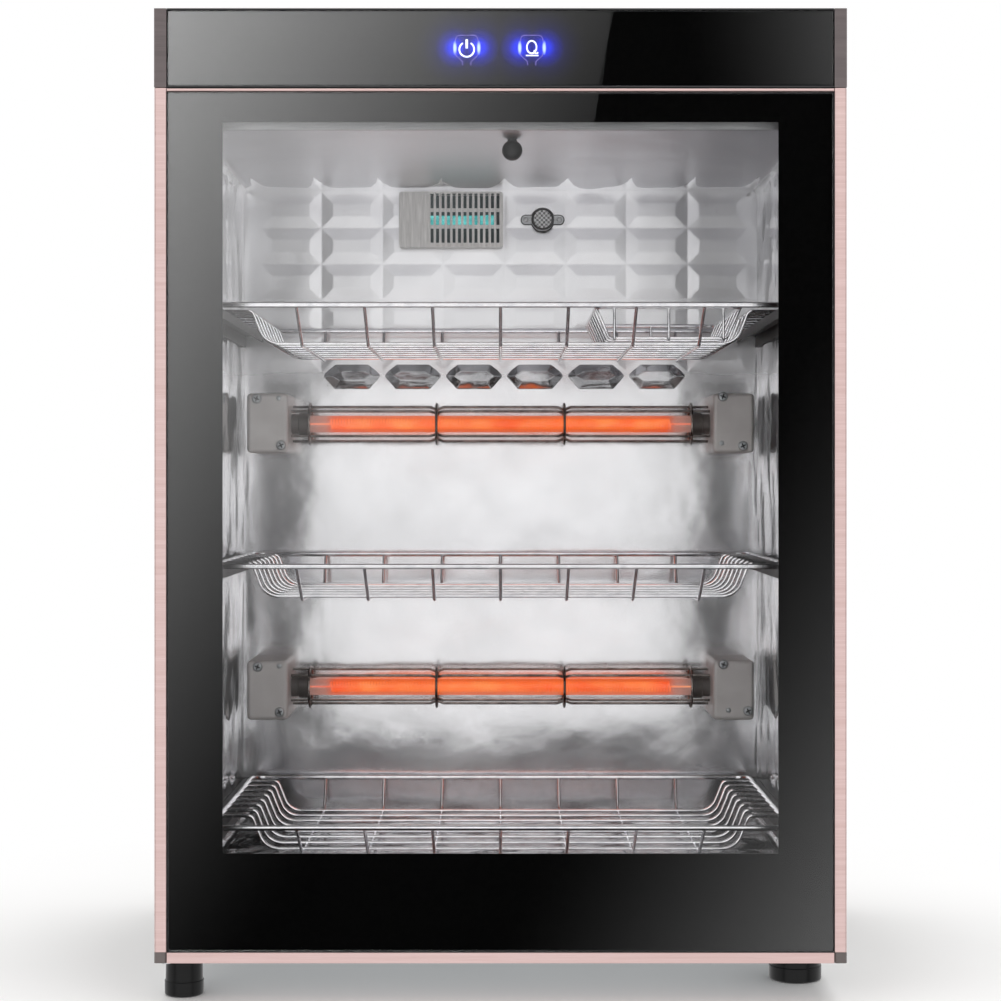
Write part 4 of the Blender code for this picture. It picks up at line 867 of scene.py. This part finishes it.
# The front frame takes a lighter copy of the ground stainless: painted light on the shaded band round the
# window's mouth
lighterFrameFinish = groundStainless("groundFrontFrameLightened", "#EFF0F1", "#D6D8DA", levelGrain, 0.44, 0.56)
nodes["front_frame"].material_slots[0].material = lighterFrameFinish
print("cavity done")


# Thermostat and ceiling plug

thermostat = {
    "place": (32.1 * mm, 0, 527 * mm),
    "seat": 138.2 * mm,
    "plate": 1 * mm,
    "face": 131.2 * mm,
    "radius": 8.6 * mm,
    "meshRadius": 6.9 * mm,
    "bodyRadius": 7.5 * mm,
    "bodyEnd": 152.2 * mm,
    "earReach": 16 * mm,
    "earHalf": 3.2 * mm,
    "screwRadius": 2.1 * mm,
    "shadeRingEdge": 0.8 * mm,
    "shadeRingFace": 137.8 * mm,
    "shadeRingThick": 0.35 * mm,
}
# Dark oxidised finish for the thermostat's bezel, also used as painted shade on the ring round the
# thermostat
darkBezel = moulded("oxidisedBezelAndShadeRing", "#3E3D40", "#2C2B2E", 0.35, 0.5)
plug = {"place": (7.6 * mm, -103 * mm, 549.7 * mm), "radius": 6.7 * mm}


# Stainless gauze over the sensor: wires 0.6 mm apart, drawn 1.7 mm apart to show
def steelGauze():
    made, tree, place = startMaterial("stainlessGauze")
    pitch = 1 / (1.7 * mm)
    fine = add(tree, "Mapping", {"Vector": place, "Scale": (pitch, pitch, pitch)})
    cells = add(tree, "TexChecker", {"Vector": fine, "Scale": 1}).outputs["Fac"]
    grime = add(tree, "TexNoise", {"Vector": place, "Scale": 500, "Detail": 2})
    mixed = add(tree, "Math", {0: cells, 1: 0.7, 2: grime}, operation="MULTIPLY_ADD")
    stops = [(0.3, "#4C4E50"), (1.0, "#F2F3F4")]
    endOpaque(tree, mixed, stops, mixed, (0.3, 0.55), cells, 0.2, {"Metallic": 0.4})
    return made


# A pan head screw with a crossed recess, its seat at place and its head towards way
def panHead(bm, place, way, radius):
    place, way = Vector(place), Vector(way)
    rise = radius * 0.55
    points = [(0, 0), (0, radius), (rise, radius * 0.8), (rise, 0)]
    turned(bm, place, way, roundedProfile(points, [0, radius * 0.1, radius * 0.3, 0]), 20)


def crossRecess(bm, place, way, radius, turn):
    place, way = Vector(place), Vector(way)
    top = place + way * radius * 0.56
    for angle in (turn, turn + 90):
        part = bmesh.new()
        block(part, (-radius * 0.55, -radius * 0.02, -radius * 0.13), (radius * 0.55, 0, radius * 0.13))
        bmesh.ops.rotate(part, matrix=Matrix.Rotation(math.radians(angle), 3, "Y"), verts=part.verts)
        bmesh.ops.translate(part, vec=top, verts=part.verts)
        merge(bm, part)


def makeThermostat():
    centre = thermostat["place"]
    face, seat, radius = (thermostat[key] for key in ("face", "seat", "radius"))
    bm = bmesh.new()
    points = [
        (face + 0.6 * mm, 0),
        (face + 0.6 * mm, thermostat["meshRadius"]),
        (face, thermostat["meshRadius"] + 0.4 * mm),
        (face, radius - 0.6 * mm),
        (face + 1 * mm, radius),
        (seat, radius),
        (seat, thermostat["bodyRadius"]),
        (thermostat["bodyEnd"], thermostat["bodyRadius"]),
        (thermostat["bodyEnd"], 0),
    ]
    turned(bm, (centre[0], 0, centre[2]), (0, 1, 0), points, 48)
    reach, half = thermostat["earReach"], thermostat["earHalf"]
    low = (centre[0] - reach, centre[2] - half)
    high = (centre[0] + reach, centre[2] + half)
    ears = rectangle("y", low, high, seat - thermostat["plate"], half * 0.98, 10)
    prism(bm, ears, (0, thermostat["plate"], 0))
    for way in (-1, 1):
        spot = (centre[0] + way * (reach - half), seat - thermostat["plate"], centre[2])
        panHead(bm, spot, (0, -1, 0), thermostat["screwRadius"])
    made = piece("thermostatBody", bm, "cabinet", "satin_steel", replaced=["thermostat"])
    made.data.materials.append(darkBezel)
    for side in made.data.polygons:
        if side.center.y < face + 2 * mm:
            side.material_index = 1
    # A ring and plate a little larger than the thermostat, in the dark bezel finish: painted shade, a
    # dark sheet standing for the shadowed outline round the thermostat
    bm = bmesh.new()
    edge, thick, skirt = (thermostat[key] for key in ("shadeRingEdge", "shadeRingThick", "shadeRingFace"))
    low = (centre[0] - reach - edge, centre[2] - half - edge)
    high = (centre[0] + reach + edge, centre[2] + half + edge)
    prism(bm, rectangle("y", low, high, skirt, (half + edge) * 0.98, 10), (0, thick, 0))
    disc = [(0, 0), (0, radius + edge), (thick, radius + edge), (thick, 0)]
    turned(bm, (centre[0], skirt, centre[2]), (0, 1, 0), disc, 48)
    piece("thermostatGasket", bm, "cabinet", "grey_rubber", darkBezel)
    bm = bmesh.new()
    front, back, edge = face + 0.55 * mm, face + 0.6 * mm, thermostat["meshRadius"] - 0.1 * mm
    disc = [(front, 0), (front, edge), (back, edge), (back, 0)]
    turned(bm, (centre[0], 0, centre[2]), (0, 1, 0), disc, 40)
    piece("thermostatGauze", bm, "cabinet", "satin_steel", steelGauze())


def makePlug():
    bm = bmesh.new()
    radius = plug["radius"]
    dome = []
    for degrees in range(0, 154, 9):
        angle = math.radians(degrees)
        dome.append((-radius - radius * math.cos(angle), radius * math.sin(angle)))
    turned(bm, plug["place"], (0, 0, 1), dome + [(0, 3 * mm), (6 * mm, 3 * mm), (6 * mm, 0)], 40)
    finish = moulded("blackSiliconeRubber", "#0D0D0E", "#070708", 0.25, 0.35, 1.2, 0.02, 1.42)
    piece("ceilingPlug", bm, "cabinet", "black_gloss", finish, replaced=["ceiling_plug"])


# Dark teal finish on the lamp's carrier and on a sheet behind the slots: painted shade, standing for the
# dark hollow behind the cover
shadeSheet = {"low": (-75.5, 138.25, 506.5), "high": (0.5, 138.45, 545.5), "rounding": 0.08 * mm}
slotShade = moulded("paintedSlotShade", "#2A444A", "#1C3136", 0.45, 0.6)
coverFinish = groundStainless("brushedCoverSteel", "#D6D4D2", "#B4B2B0", (900, 60, 60), 0.34, 0.46)


def makeShadeSheet():
    bm = bmesh.new()
    low, high = (Vector(shadeSheet[key]) * mm for key in ("low", "high"))
    block(bm, low, high, shadeSheet["rounding"], 1)
    piece("lampBacking", bm, "cabinet", "painted_steel", slotShade)


makeThermostat()
makePlug()
makeShadeSheet()
nodes["uv_cover"].material_slots[0].material = coverFinish
nodes["uv_lamp_bracket"].material_slots[0].material = slotShade
print("thermostat and plug done")


# Infrared heaters: quartz tube with its coil, ceramic caps, holders and wire guard

heater = {
    "levels": {"lower": 173 * mm, "upper": 370.6 * mm},
    "y": 115 * mm,
    "tubeHalf": 154 * mm,
    "tubeRadius": 6.4 * mm,
    "coilHalf": 128 * mm,
    "coilRadius": 3.5 * mm,
    "coilWire": 0.7 * mm,
    "coilTurns": 116,
    "tailHalf": 152 * mm,
    "capStart": 143 * mm,
    "capShoulder": 151.5 * mm,
    "capEnd": 165 * mm,
    "capFloor": 154.3 * mm,
    "capGap": 0.3 * mm,
    "collarRadius": 8.4 * mm,
    "neckRadius": 7.4 * mm,
    "holderInner": 157 * mm,
    "holderOuter": 187.5 * mm,
    "holderHalf": 22 * mm,
    "holderFace": 85 * mm,
    "holderSeat": 140 * mm,
    "holderCorner": 3 * mm,
    "guardRod": 1.0 * mm,
    "guardRadius": 13.5 * mm,
    "guardAngles": (43, 107, 253, 317),
    "ringRadius": 15.1 * mm,
    "ringPlaces": (-143 * mm, -47.9 * mm, 47.9 * mm, 143 * mm),
    "kink": 1.5 * mm,
    "kinkHalf": 1.5 * mm,
    "kinkFoot": 5 * mm,
    "rodBend": 1.6 * mm,
    "rodGap": 0.4 * mm,
    "screwRadius": 3.9 * mm,
    "rivetRadius": 1.9 * mm,
}
# Two screws and a rivet on each holder's face, as (x, z)
holderScrews = {
    "upper_left": ((-180.1, 388.5), (-162.1, 354.1), (-163.8, 389.0)),
    "upper_right": ((164.2, 390.1), (179.1, 353.6), (163.4, 355.7)),
    "lower_left": ((-179.4, 190.5), (-163.1, 157.0), (-163.5, 191.0)),
    "lower_right": ((164.6, 192.3), (182.9, 157.9), (168.5, 158.4)),
}
darkRecess = moulded("shadowedRecess", "#17161A", "#0E0D10", 0.6, 0.8)


# A spot on a circle round a heater's axis
def aroundTube(along, radius, angle, height):
    return (along, heater["y"] + radius * math.cos(angle), height + radius * math.sin(angle))


def makeHeater(level, height):
    y = heater["y"]
    bm = bmesh.new()
    radius, end = heater["tubeRadius"], heater["tubeHalf"]
    points = [(-end, 0), (-end, radius), (end, radius), (end, 0)]
    turned(bm, (0, y, height), (1, 0, 0), roundedProfile(points, [0, 2 * mm, 2 * mm, 0], 4), 32)
    piece(f"quartzTube_{level}", bm, "cabinet", "hot_quartz", replaced=[f"heater_tube_{level}"])
    bm = bmesh.new()
    count = heater["coilTurns"] * 10
    helix = []
    for step in range(count + 1):
        angle = 2 * math.pi * step / 10
        along = -heater["coilHalf"] + 2 * heater["coilHalf"] * step / count
        helix.append(aroundTube(along, heater["coilRadius"], angle, height))
    paths = [(helix, heater["coilWire"], False)]
    for way in (-1, 1):
        tail = [(way * heater["tailHalf"], y, height), (way * heater["coilHalf"], y, height)]
        paths.append((tail, heater["coilWire"], False))
    wires(bm, paths, 1)
    piece(f"heaterCoil_{level}", bm, "cabinet", "hot_quartz", glowingCoil())

    end, radius = heater["holderInner"] - heater["rodGap"], heater["guardRadius"]
    half, foot = heater["kinkHalf"], heater["kinkFoot"]
    stations = [(-end, radius)]
    for ring in heater["ringPlaces"][1:3]:
        stations += [(ring - foot, radius), (ring - half, radius - heater["kink"])]
        stations += [(ring + half, radius - heater["kink"]), (ring + foot, radius)]
    stations.append((end, radius))
    bends = [0] + [heater["rodBend"]] * (len(stations) - 2) + [0]
    rods = []
    for degrees in heater["guardAngles"]:
        angle = math.radians(180 - degrees)
        line = [aroundTube(along, reach, angle, height) for along, reach in stations]
        rods.append((filleted(line, bends, 3), heater["guardRod"], False))
    for along in heater["ringPlaces"]:
        angles = [2 * math.pi * step / 32 for step in range(32)]
        ring = [aroundTube(along, heater["ringRadius"], angle, height) for angle in angles]
        rods.append((ring, heater["guardRod"], True))
    bm = bmesh.new()
    wires(bm, rods)
    piece(f"guardWires_{level}", bm, "cabinet", "dark_wire", replaced=[f"heater_guard_{level}"])

    for way, word in ((-1, "left"), (1, "right")):
        makeHeaterEnd(f"{level}_{word}", way, height)


def makeHeaterEnd(name, way, height):
    y = heater["y"]
    bm = bmesh.new()
    bore = heater["tubeRadius"] + heater["capGap"]
    collar, neck = heater["collarRadius"], heater["neckRadius"]
    places = ("capStart", "capShoulder", "capEnd", "capFloor")
    start, shoulder, end, floor = (way * heater[key] for key in places)
    points = [
        (start, bore),
        (start, collar),
        (shoulder, collar),
        (shoulder, neck),
        (end, neck),
        (end, 0),
        (floor, 0),
        (floor, bore),
        (start, bore),
    ]
    bends = [0, 0.8 * mm, 0.8 * mm, 0.3 * mm, 0.5 * mm, 0, 0, 0, 0]
    turned(bm, (0, y, height), (1, 0, 0), roundedProfile(points, bends), 32)
    piece(f"ceramicCap_{name}", bm, "cabinet", "dark_ceramic", replaced=[f"heater_cap_{name}"])

    inner, outer = sorted((way * heater["holderInner"], way * heater["holderOuter"]))
    low = (inner, heater["holderFace"], height - heater["holderHalf"])
    high = (outer, heater["holderSeat"], height + heater["holderHalf"])

    def ahead(edge):
        return min(corner.co.y for corner in edge.verts) < heater["holderSeat"] - 0.1 * mm

    bm = bmesh.new()
    block(bm, low, high, heater["holderCorner"], 4, ahead)
    piece(f"holderBox_{name}", bm, "cabinet", "grey_steel", replaced=[f"heater_holder_{name}"])

    screws, recesses = bmesh.new(), bmesh.new()
    first, second, third = holderScrews[name]
    for turn, spot in ((20, first), (65, second)):
        place = (spot[0] * mm, heater["holderFace"], spot[1] * mm)
        panHead(screws, place, (0, -1, 0), heater["screwRadius"])
        crossRecess(recesses, place, (0, -1, 0), heater["screwRadius"], turn)
    radius = heater["rivetRadius"]
    angles = [math.radians(degrees) for degrees in range(0, 91, 15)]
    dome = [(radius * 0.4 * math.cos(angle), radius * math.sin(angle)) for angle in angles]
    spot = (third[0] * mm, heater["holderFace"], third[1] * mm)
    turned(screws, spot, (0, -1, 0), dome + [(0, 0)], 20)
    piece(f"holderScrews_{name}", screws, "cabinet", "zinc_steel")
    piece(f"screwRecesses_{name}", recesses, "cabinet", "zinc_steel", darkRecess)


for levelName, levelHeight in heater["levels"].items():
    makeHeater(levelName, levelHeight)
print("heaters done")


# Wire racks and the cutlery basket

rack = {
    "rims": {"lower": 103 * mm, "middle": 272.3 * mm, "upper": 441.6 * mm},
    "half": 188 * mm,
    "front": -112.2 * mm,
    "rear": 128 * mm,
    "corner": 10 * mm,
    "rimRadius": 1.8 * mm,
    "wire": 1.15 * mm,
    "dip": 21.9 * mm,
    "runnerDip": 23.8 * mm,
    "wallX": 166.5 * mm,
    "floorX": 157.8 * mm,
    "shoulderBend": 4 * mm,
    "floorBend": 13 * mm,
    "frontSlope": 43 * mm,
    "rearSlope": 14 * mm,
    "slopeBend": 8 * mm,
    "runners": 7,
    "runnerReach": 132.3 * mm,
    "crosses": 8,
}
basket = {
    "left": 64.2 * mm,
    "right": 161.2 * mm,
    "front": -64.2 * mm,
    "rear": 109 * mm,
    "lean": 9 * mm,
    "ribHeight": 423.75 * mm,
    "runnerHeight": 422.15 * mm,
    "rimHeight": 444.05 * mm,
    "wire": 1.0 * mm,
    "rimWire": 1.3 * mm,
    "ribs": 8,
    "runners": 3,
    "corner": 6 * mm,
    "bend": 3 * mm,
}


def makeRack(level, rim):
    front, rear, half = rack["front"], rack["rear"], rack["half"]
    corners = [(-half, front, rim), (half, front, rim), (half, rear, rim), (-half, rear, rim)]
    paths = [(filleted(corners, [rack["corner"]] * 4, 8), rack["rimRadius"], True)]
    slopeBends = [0, rack["slopeBend"], rack["slopeBend"], 0]
    floor = rim - rack["runnerDip"]
    for step in range(rack["runners"]):
        x = -rack["runnerReach"] + 2 * rack["runnerReach"] * step / (rack["runners"] - 1)
        line = [
            (x, front, rim),
            (x, front + rack["frontSlope"], floor),
            (x, rear - rack["rearSlope"], floor),
            (x, rear, rim),
        ]
        paths.append((filleted(line, slopeBends), rack["wire"], False))
    bends = [0, rack["shoulderBend"], rack["floorBend"], rack["floorBend"], rack["shoulderBend"], 0]
    start = front + rack["frontSlope"] + rack["slopeBend"]
    end = rear - rack["rearSlope"] - rack["slopeBend"]
    for step in range(rack["crosses"]):
        y = start + (end - start) * step / (rack["crosses"] - 1)
        line = [
            (-half, y, rim),
            (-rack["wallX"], y, rim),
            (-rack["floorX"], y, rim - rack["dip"]),
            (rack["floorX"], y, rim - rack["dip"]),
            (rack["wallX"], y, rim),
            (half, y, rim),
        ]
        paths.append((filleted(line, bends), rack["wire"], False))
    bm = bmesh.new()
    wires(bm, paths, 3)
    piece(f"rackWires_{level}", bm, f"rack_{level}", "chrome_wire", replaced=[f"rack_{level}"])


def makeBasket():
    left, right, front, rear = (basket[key] for key in ("left", "right", "front", "rear"))
    rim, rib, low = basket["rimHeight"], basket["ribHeight"], basket["runnerHeight"]
    corners = [(left, front, rim), (right, front, rim), (right, rear, rim), (left, rear, rim)]
    paths = [(filleted(corners, [basket["corner"]] * 4), basket["rimWire"], True)]
    bends = [0, basket["bend"], basket["bend"], 0]
    floorLeft, floorRight = left + basket["lean"], right - basket["lean"]
    for step in range(basket["ribs"]):
        part = step / (basket["ribs"] - 1)
        y = front + basket["corner"] + (rear - front - 2 * basket["corner"]) * part
        line = [(left, y, rim), (floorLeft, y, rib), (floorRight, y, rib), (right, y, rim)]
        paths.append((filleted(line, bends), basket["wire"], False))
    start, end = floorLeft + basket["bend"], floorRight - basket["bend"]
    for step in range(basket["runners"]):
        x = start + (end - start) * step / (basket["runners"] - 1)
        line = [(x, front, rim), (x, front, low), (x, rear, low), (x, rear, rim)]
        paths.append((filleted(line, bends), basket["wire"], False))
    bm = bmesh.new()
    wires(bm, paths, 3)
    piece("basketWires", bm, "cutlery_basket", "chrome_wire", replaced=["cutlery_basket"])


for levelName, rimHeight in rack["rims"].items():
    makeRack(levelName, rimHeight)
makeBasket()
print("racks and basket done")


# Feet, cord gland and the screws of the back cover

feet = {
    "places": {
        "front_left": (-202 * mm, -130 * mm, 12.5 * mm, 25.4 * mm),
        "front_right": (194 * mm, -87 * mm, 17.25 * mm, 27.7 * mm),
        "rear_left": (-194 * mm, 125 * mm, 17.25 * mm, 27.7 * mm),
        "rear_right": (194 * mm, 125 * mm, 17.25 * mm, 27.7 * mm),
    },
    "rim": 1.5 * mm,
    "band": 8 * mm,
    "neckShare": 0.93,
    "studRadius": 2.8 * mm,
    "studTop": 35 * mm,
}
gland = {
    "place": (150 * mm, 0, 60 * mm),
    "start": 153.2 * mm,
    "seat": 164.3 * mm,
    "rear": 170 * mm,
    "bore": 3.2 * mm,
    "barrel": 7.5 * mm,
    "flange": 11 * mm,
}
backScrews = {
    "sides": (-203 * mm, 203 * mm),
    "heights": (45 * mm, 320 * mm, 600 * mm),
    "seat": 164 * mm,
    "radius": 3.2 * mm,
}


def makeFeet():
    rim, band = feet["rim"], feet["band"]
    for name, (x, y, radius, top) in feet["places"].items():
        neck = radius * feet["neckShare"]
        points = [
            (0, 0),
            (0, radius),
            (band + rim, radius),
            (band + rim, radius * 0.95),
            (top, neck),
            (top, feet["studRadius"]),
            (feet["studTop"], feet["studRadius"]),
            (feet["studTop"], 0),
        ]
        bends = [0, rim, 0.3 * mm, 0.2 * mm, 0.8 * mm, 0, 0.3 * mm, 0]
        bm = bmesh.new()
        turned(bm, (x, y, 0), (0, 0, 1), roundedProfile(points, bends, 4), 56)
        piece(f"foot_{name}_turned", bm, "cabinet", "black_gloss", replaced=[f"foot_{name}"])


def makeGland():
    start, seat, rear = gland["start"], gland["seat"], gland["rear"]
    bore, barrel, flange = (gland[key] for key in ("bore", "barrel", "flange"))
    points = [(start, bore), (start, barrel), (seat, barrel), (seat, flange)]
    points += [(rear, flange), (rear, bore + 1.5 * mm), (rear - 1.5 * mm, bore), (start, bore)]
    bends = [0, 0.8 * mm, 0, 0.4 * mm, 1.4 * mm, 0.6 * mm, 0.6 * mm, 0]
    bm = bmesh.new()
    turned(bm, gland["place"], (0, 1, 0), roundedProfile(points, bends), 40)
    piece("cordGlandTurned", bm, "cabinet", "black_plastic", replaced=["cord_gland"])


def makeBackScrews():
    heads, recesses = bmesh.new(), bmesh.new()
    for x in backScrews["sides"]:
        for z in backScrews["heights"]:
            place = (x, backScrews["seat"], z)
            panHead(heads, place, (0, 1, 0), backScrews["radius"])
            crossRecess(recesses, place, (0, 1, 0), backScrews["radius"], 30)
    piece("backScrews", heads, "cabinet", "zinc_steel")
    piece("backScrewRecesses", recesses, "cabinet", "zinc_steel", darkRecess)


makeFeet()
makeGland()
makeBackScrews()
print("feet, gland and screws done")


# Studio: pale floor, soft lamps, camera at the photograph's angle

studio = {
    "ambient": 0.55,
    "frontLevel": 1.0,
    "frontSize": (4.4, 3.4),
    "frontPlace": (0, -1.9, 0.55),
    "topLevel": 2.2,
    "topSize": (2.4, 2.0),
    "topPlace": (0.1, 0.1, 2.3),
    "sheenPlane": -2.2,
    "cardPlace": (0, -2.7, 0.6),
    "cardSize": (9.0, 5.0),
    "cameraPlace": (0, -1.509, 0.327),
    "lens": 77.6,
    "shift": -0.0185,
}


def areaLamp(name, place, size, level, rotation, only=None, omit=None):
    data = bpy.data.lights.new(name, "AREA")
    data.shape = "RECTANGLE"
    data.size, data.size_y = size
    data.energy = 4 * size[0] * size[1] * level
    made = bpy.data.objects.new(name, data)
    made.location = place
    made.rotation_euler = rotation
    made.visible_camera = False
    scene.collection.objects.link(made)
    chosen = only or omit
    if chosen:
        linked = bpy.data.collections.new(name + "Receivers")
        for item in chosen:
            linked.objects.link(item)
        made.light_linking.receiver_collection = linked
        for entry in linked.collection_objects:
            entry.light_linking.link_state = "INCLUDE" if only else "EXCLUDE"
    return made


# Lamps that only the front glass shows, as light from a window would: each is brightest at one
# corner and fades away from it. Places are the spots on the glass where the camera sees them.
sheens = {
    "windowSheen": {
        "panes": ("doorPane", "panelPane"),
        "span": ((-0.300, 0.0333), (-0.050, 0.850)),
        "corner": (-0.207, 0.620),
        "weights": (1.65, -1.0),
        "fade": 0.69,
        "level": 3.6,
        "lean": 9.4,
    },
    "lowSheen": {
        "panes": ("doorPane",),
        "span": ((-0.050, 0.300), (-0.050, 0.500)),
        "corner": (0.207, 0.035),
        "weights": (-2.0, 1.0),
        "fade": 0.44,
        "level": 0.95,
        "lean": 0,
    },
    "panelSheen": {
        "panes": ("panelPane",),
        "span": ((0.080, 0.260), (0.540, 0.660)),
        "corner": (0.207, 0.620),
        "weights": (-1.0, -0.15),
        "fade": 0.10,
        "level": 0.5,
        "lean": 0,
    },
}


def addSheen(name, facts):
    plane, eye = studio["sheenPlane"], Vector(studio["cameraPlace"])
    scale = (door["front"] * 2 - eye.y - plane) / (door["front"] - eye.y)
    (left, right), (low, high) = facts["span"]
    size = ((right - left) * scale, (high - low) * scale)
    lean = math.radians(facts["lean"])
    edge = Vector((right * scale, plane, eye.z + ((low + high) / 2 - eye.z) * scale))
    place = edge + Vector((-math.cos(lean), 0, math.sin(lean))) * size[0] / 2
    panes = [bpy.data.objects[pane] for pane in facts["panes"]]
    lamp = areaLamp(name, place, size, facts["level"], (math.pi / 2, lean, 0), only=panes)
    lamp.data.use_nodes = True
    tree = lamp.data.node_tree
    tree.nodes.clear()
    corner = (facts["corner"][0] * scale, 0, eye.z + (facts["corner"][1] - eye.z) * scale)
    away = add(tree, "VectorMath", {0: add(tree, "NewGeometry"), 1: corner}, operation="SUBTRACT")
    slope = (facts["weights"][0] / scale, 0, facts["weights"][1] / scale)
    distance = add(tree, "VectorMath", {0: away, 1: slope}, operation="DOT_PRODUCT").outputs["Value"]
    reach = {"Value": distance, "From Max": facts["fade"], "To Min": 1, "To Max": 0}
    level = add(tree, "Math", {0: add(tree, "MapRange", reach), 1: 2.2}, operation="POWER")
    add(tree, "OutputLight", {"Surface": add(tree, "Emission", {"Strength": level})})


def makeStudio():
    panes = [bpy.data.objects["doorPane"], bpy.data.objects["panelPane"], nodes["door_inner_glass"]]
    facing = (math.pi / 2, 0, 0)
    level = studio["frontLevel"]
    areaLamp("frontLamp", studio["frontPlace"], studio["frontSize"], level, facing, omit=panes)
    areaLamp("topLamp", studio["topPlace"], studio["topSize"], studio["topLevel"], (0, 0, 0))
    for name, facts in sheens.items():
        addSheen(name, facts)

    # A dark room behind the lamps, for reflections only
    bm = bmesh.new()
    bmesh.ops.create_grid(bm, x_segments=2, y_segments=2, size=0.5)
    bmesh.ops.scale(bm, vec=(*studio["cardSize"], 1), verts=bm.verts)
    bmesh.ops.rotate(bm, matrix=Matrix.Rotation(math.pi / 2, 3, "X"), verts=bm.verts)
    bmesh.ops.translate(bm, vec=studio["cardPlace"], verts=bm.verts)
    card = stagePiece("darkRoom", bm, firedInk("darkCloth"))
    for ray in ("camera", "diffuse", "shadow", "transmission"):
        setattr(card, "visible_" + ray, False)

    bm = bmesh.new()
    bmesh.ops.create_grid(bm, x_segments=4, y_segments=4, size=20)
    floor = stagePiece("paleFloor", bm, paleFloor())
    floor.visible_glossy = False  # the front glass stays black


def stagePiece(name, bm, finish):
    mesh = bpy.data.meshes.new(name)
    bm.to_mesh(mesh)
    bm.free()
    mesh.materials.append(finish)
    made = bpy.data.objects.new(name, mesh)
    scene.collection.objects.link(made)
    return made


# Matt painted floor, which turns into the white background away from the object
def paleFloor():
    made, tree, place = startMaterial("mattPaleFloor")
    away = add(tree, "VectorMath", {0: place}, operation="LENGTH").outputs["Value"]
    far = add(tree, "MapRange", {"Value": away, "From Min": 0.27, "From Max": 0.6})
    mottle = add(tree, "TexNoise", {"Vector": place, "Scale": 3, "Detail": 2})
    colour = add(tree, "ValToRGB", {"Fac": mottle}, [(0.3, "#ECEBEA"), (0.7, "#F1F0EF")])
    matt = add(tree, "BsdfPrincipled", {"Base Color": colour, "Roughness": 0.85, "IOR": 1.3})
    white = add(tree, "Emission", {"Color": (1, 1, 1, 1), "Strength": 1.0})
    endMaterial(tree, add(tree, "MixShader", {0: far, 1: matt, 2: white}))
    return made


def makeWorld():
    world = bpy.data.worlds.new("softStudio")
    scene.world = world
    world.use_nodes = True
    tree = world.node_tree
    tree.nodes.clear()
    rays = add(tree, "LightPath").outputs
    seen = add(tree, "Math", {0: rays["Is Camera Ray"], 1: rays["Is Glossy Ray"]}, operation="ADD")
    seen = add(tree, "Math", {0: seen, 1: rays["Is Transmission Ray"]}, operation="ADD", use_clamp=True)
    soft = add(tree, "Background", {"Color": (1, 1, 1, 1), "Strength": studio["ambient"]})
    white = add(tree, "Background", {"Color": (1, 1, 1, 1), "Strength": 1.0})
    mixed = add(tree, "MixShader", {0: seen, 1: soft, 2: white})
    add(tree, "OutputWorld", {"Surface": mixed})


def makeCamera():
    data = bpy.data.cameras.new("photoCamera")
    data.sensor_width = 36
    data.lens = studio["lens"]
    data.shift_y = studio["shift"]
    data.clip_start = 0.05
    made = bpy.data.objects.new("photoCamera", data)
    made.location = studio["cameraPlace"]
    made.rotation_euler = (math.pi / 2, 0, 0)
    scene.collection.objects.link(made)
    scene.camera = made


makeStudio()
makeWorld()
makeCamera()
scene.view_settings.view_transform = "Standard"
scene.cycles.transparent_max_bounces = 24
scene.cycles.glossy_bounces = 8
print("studio done")
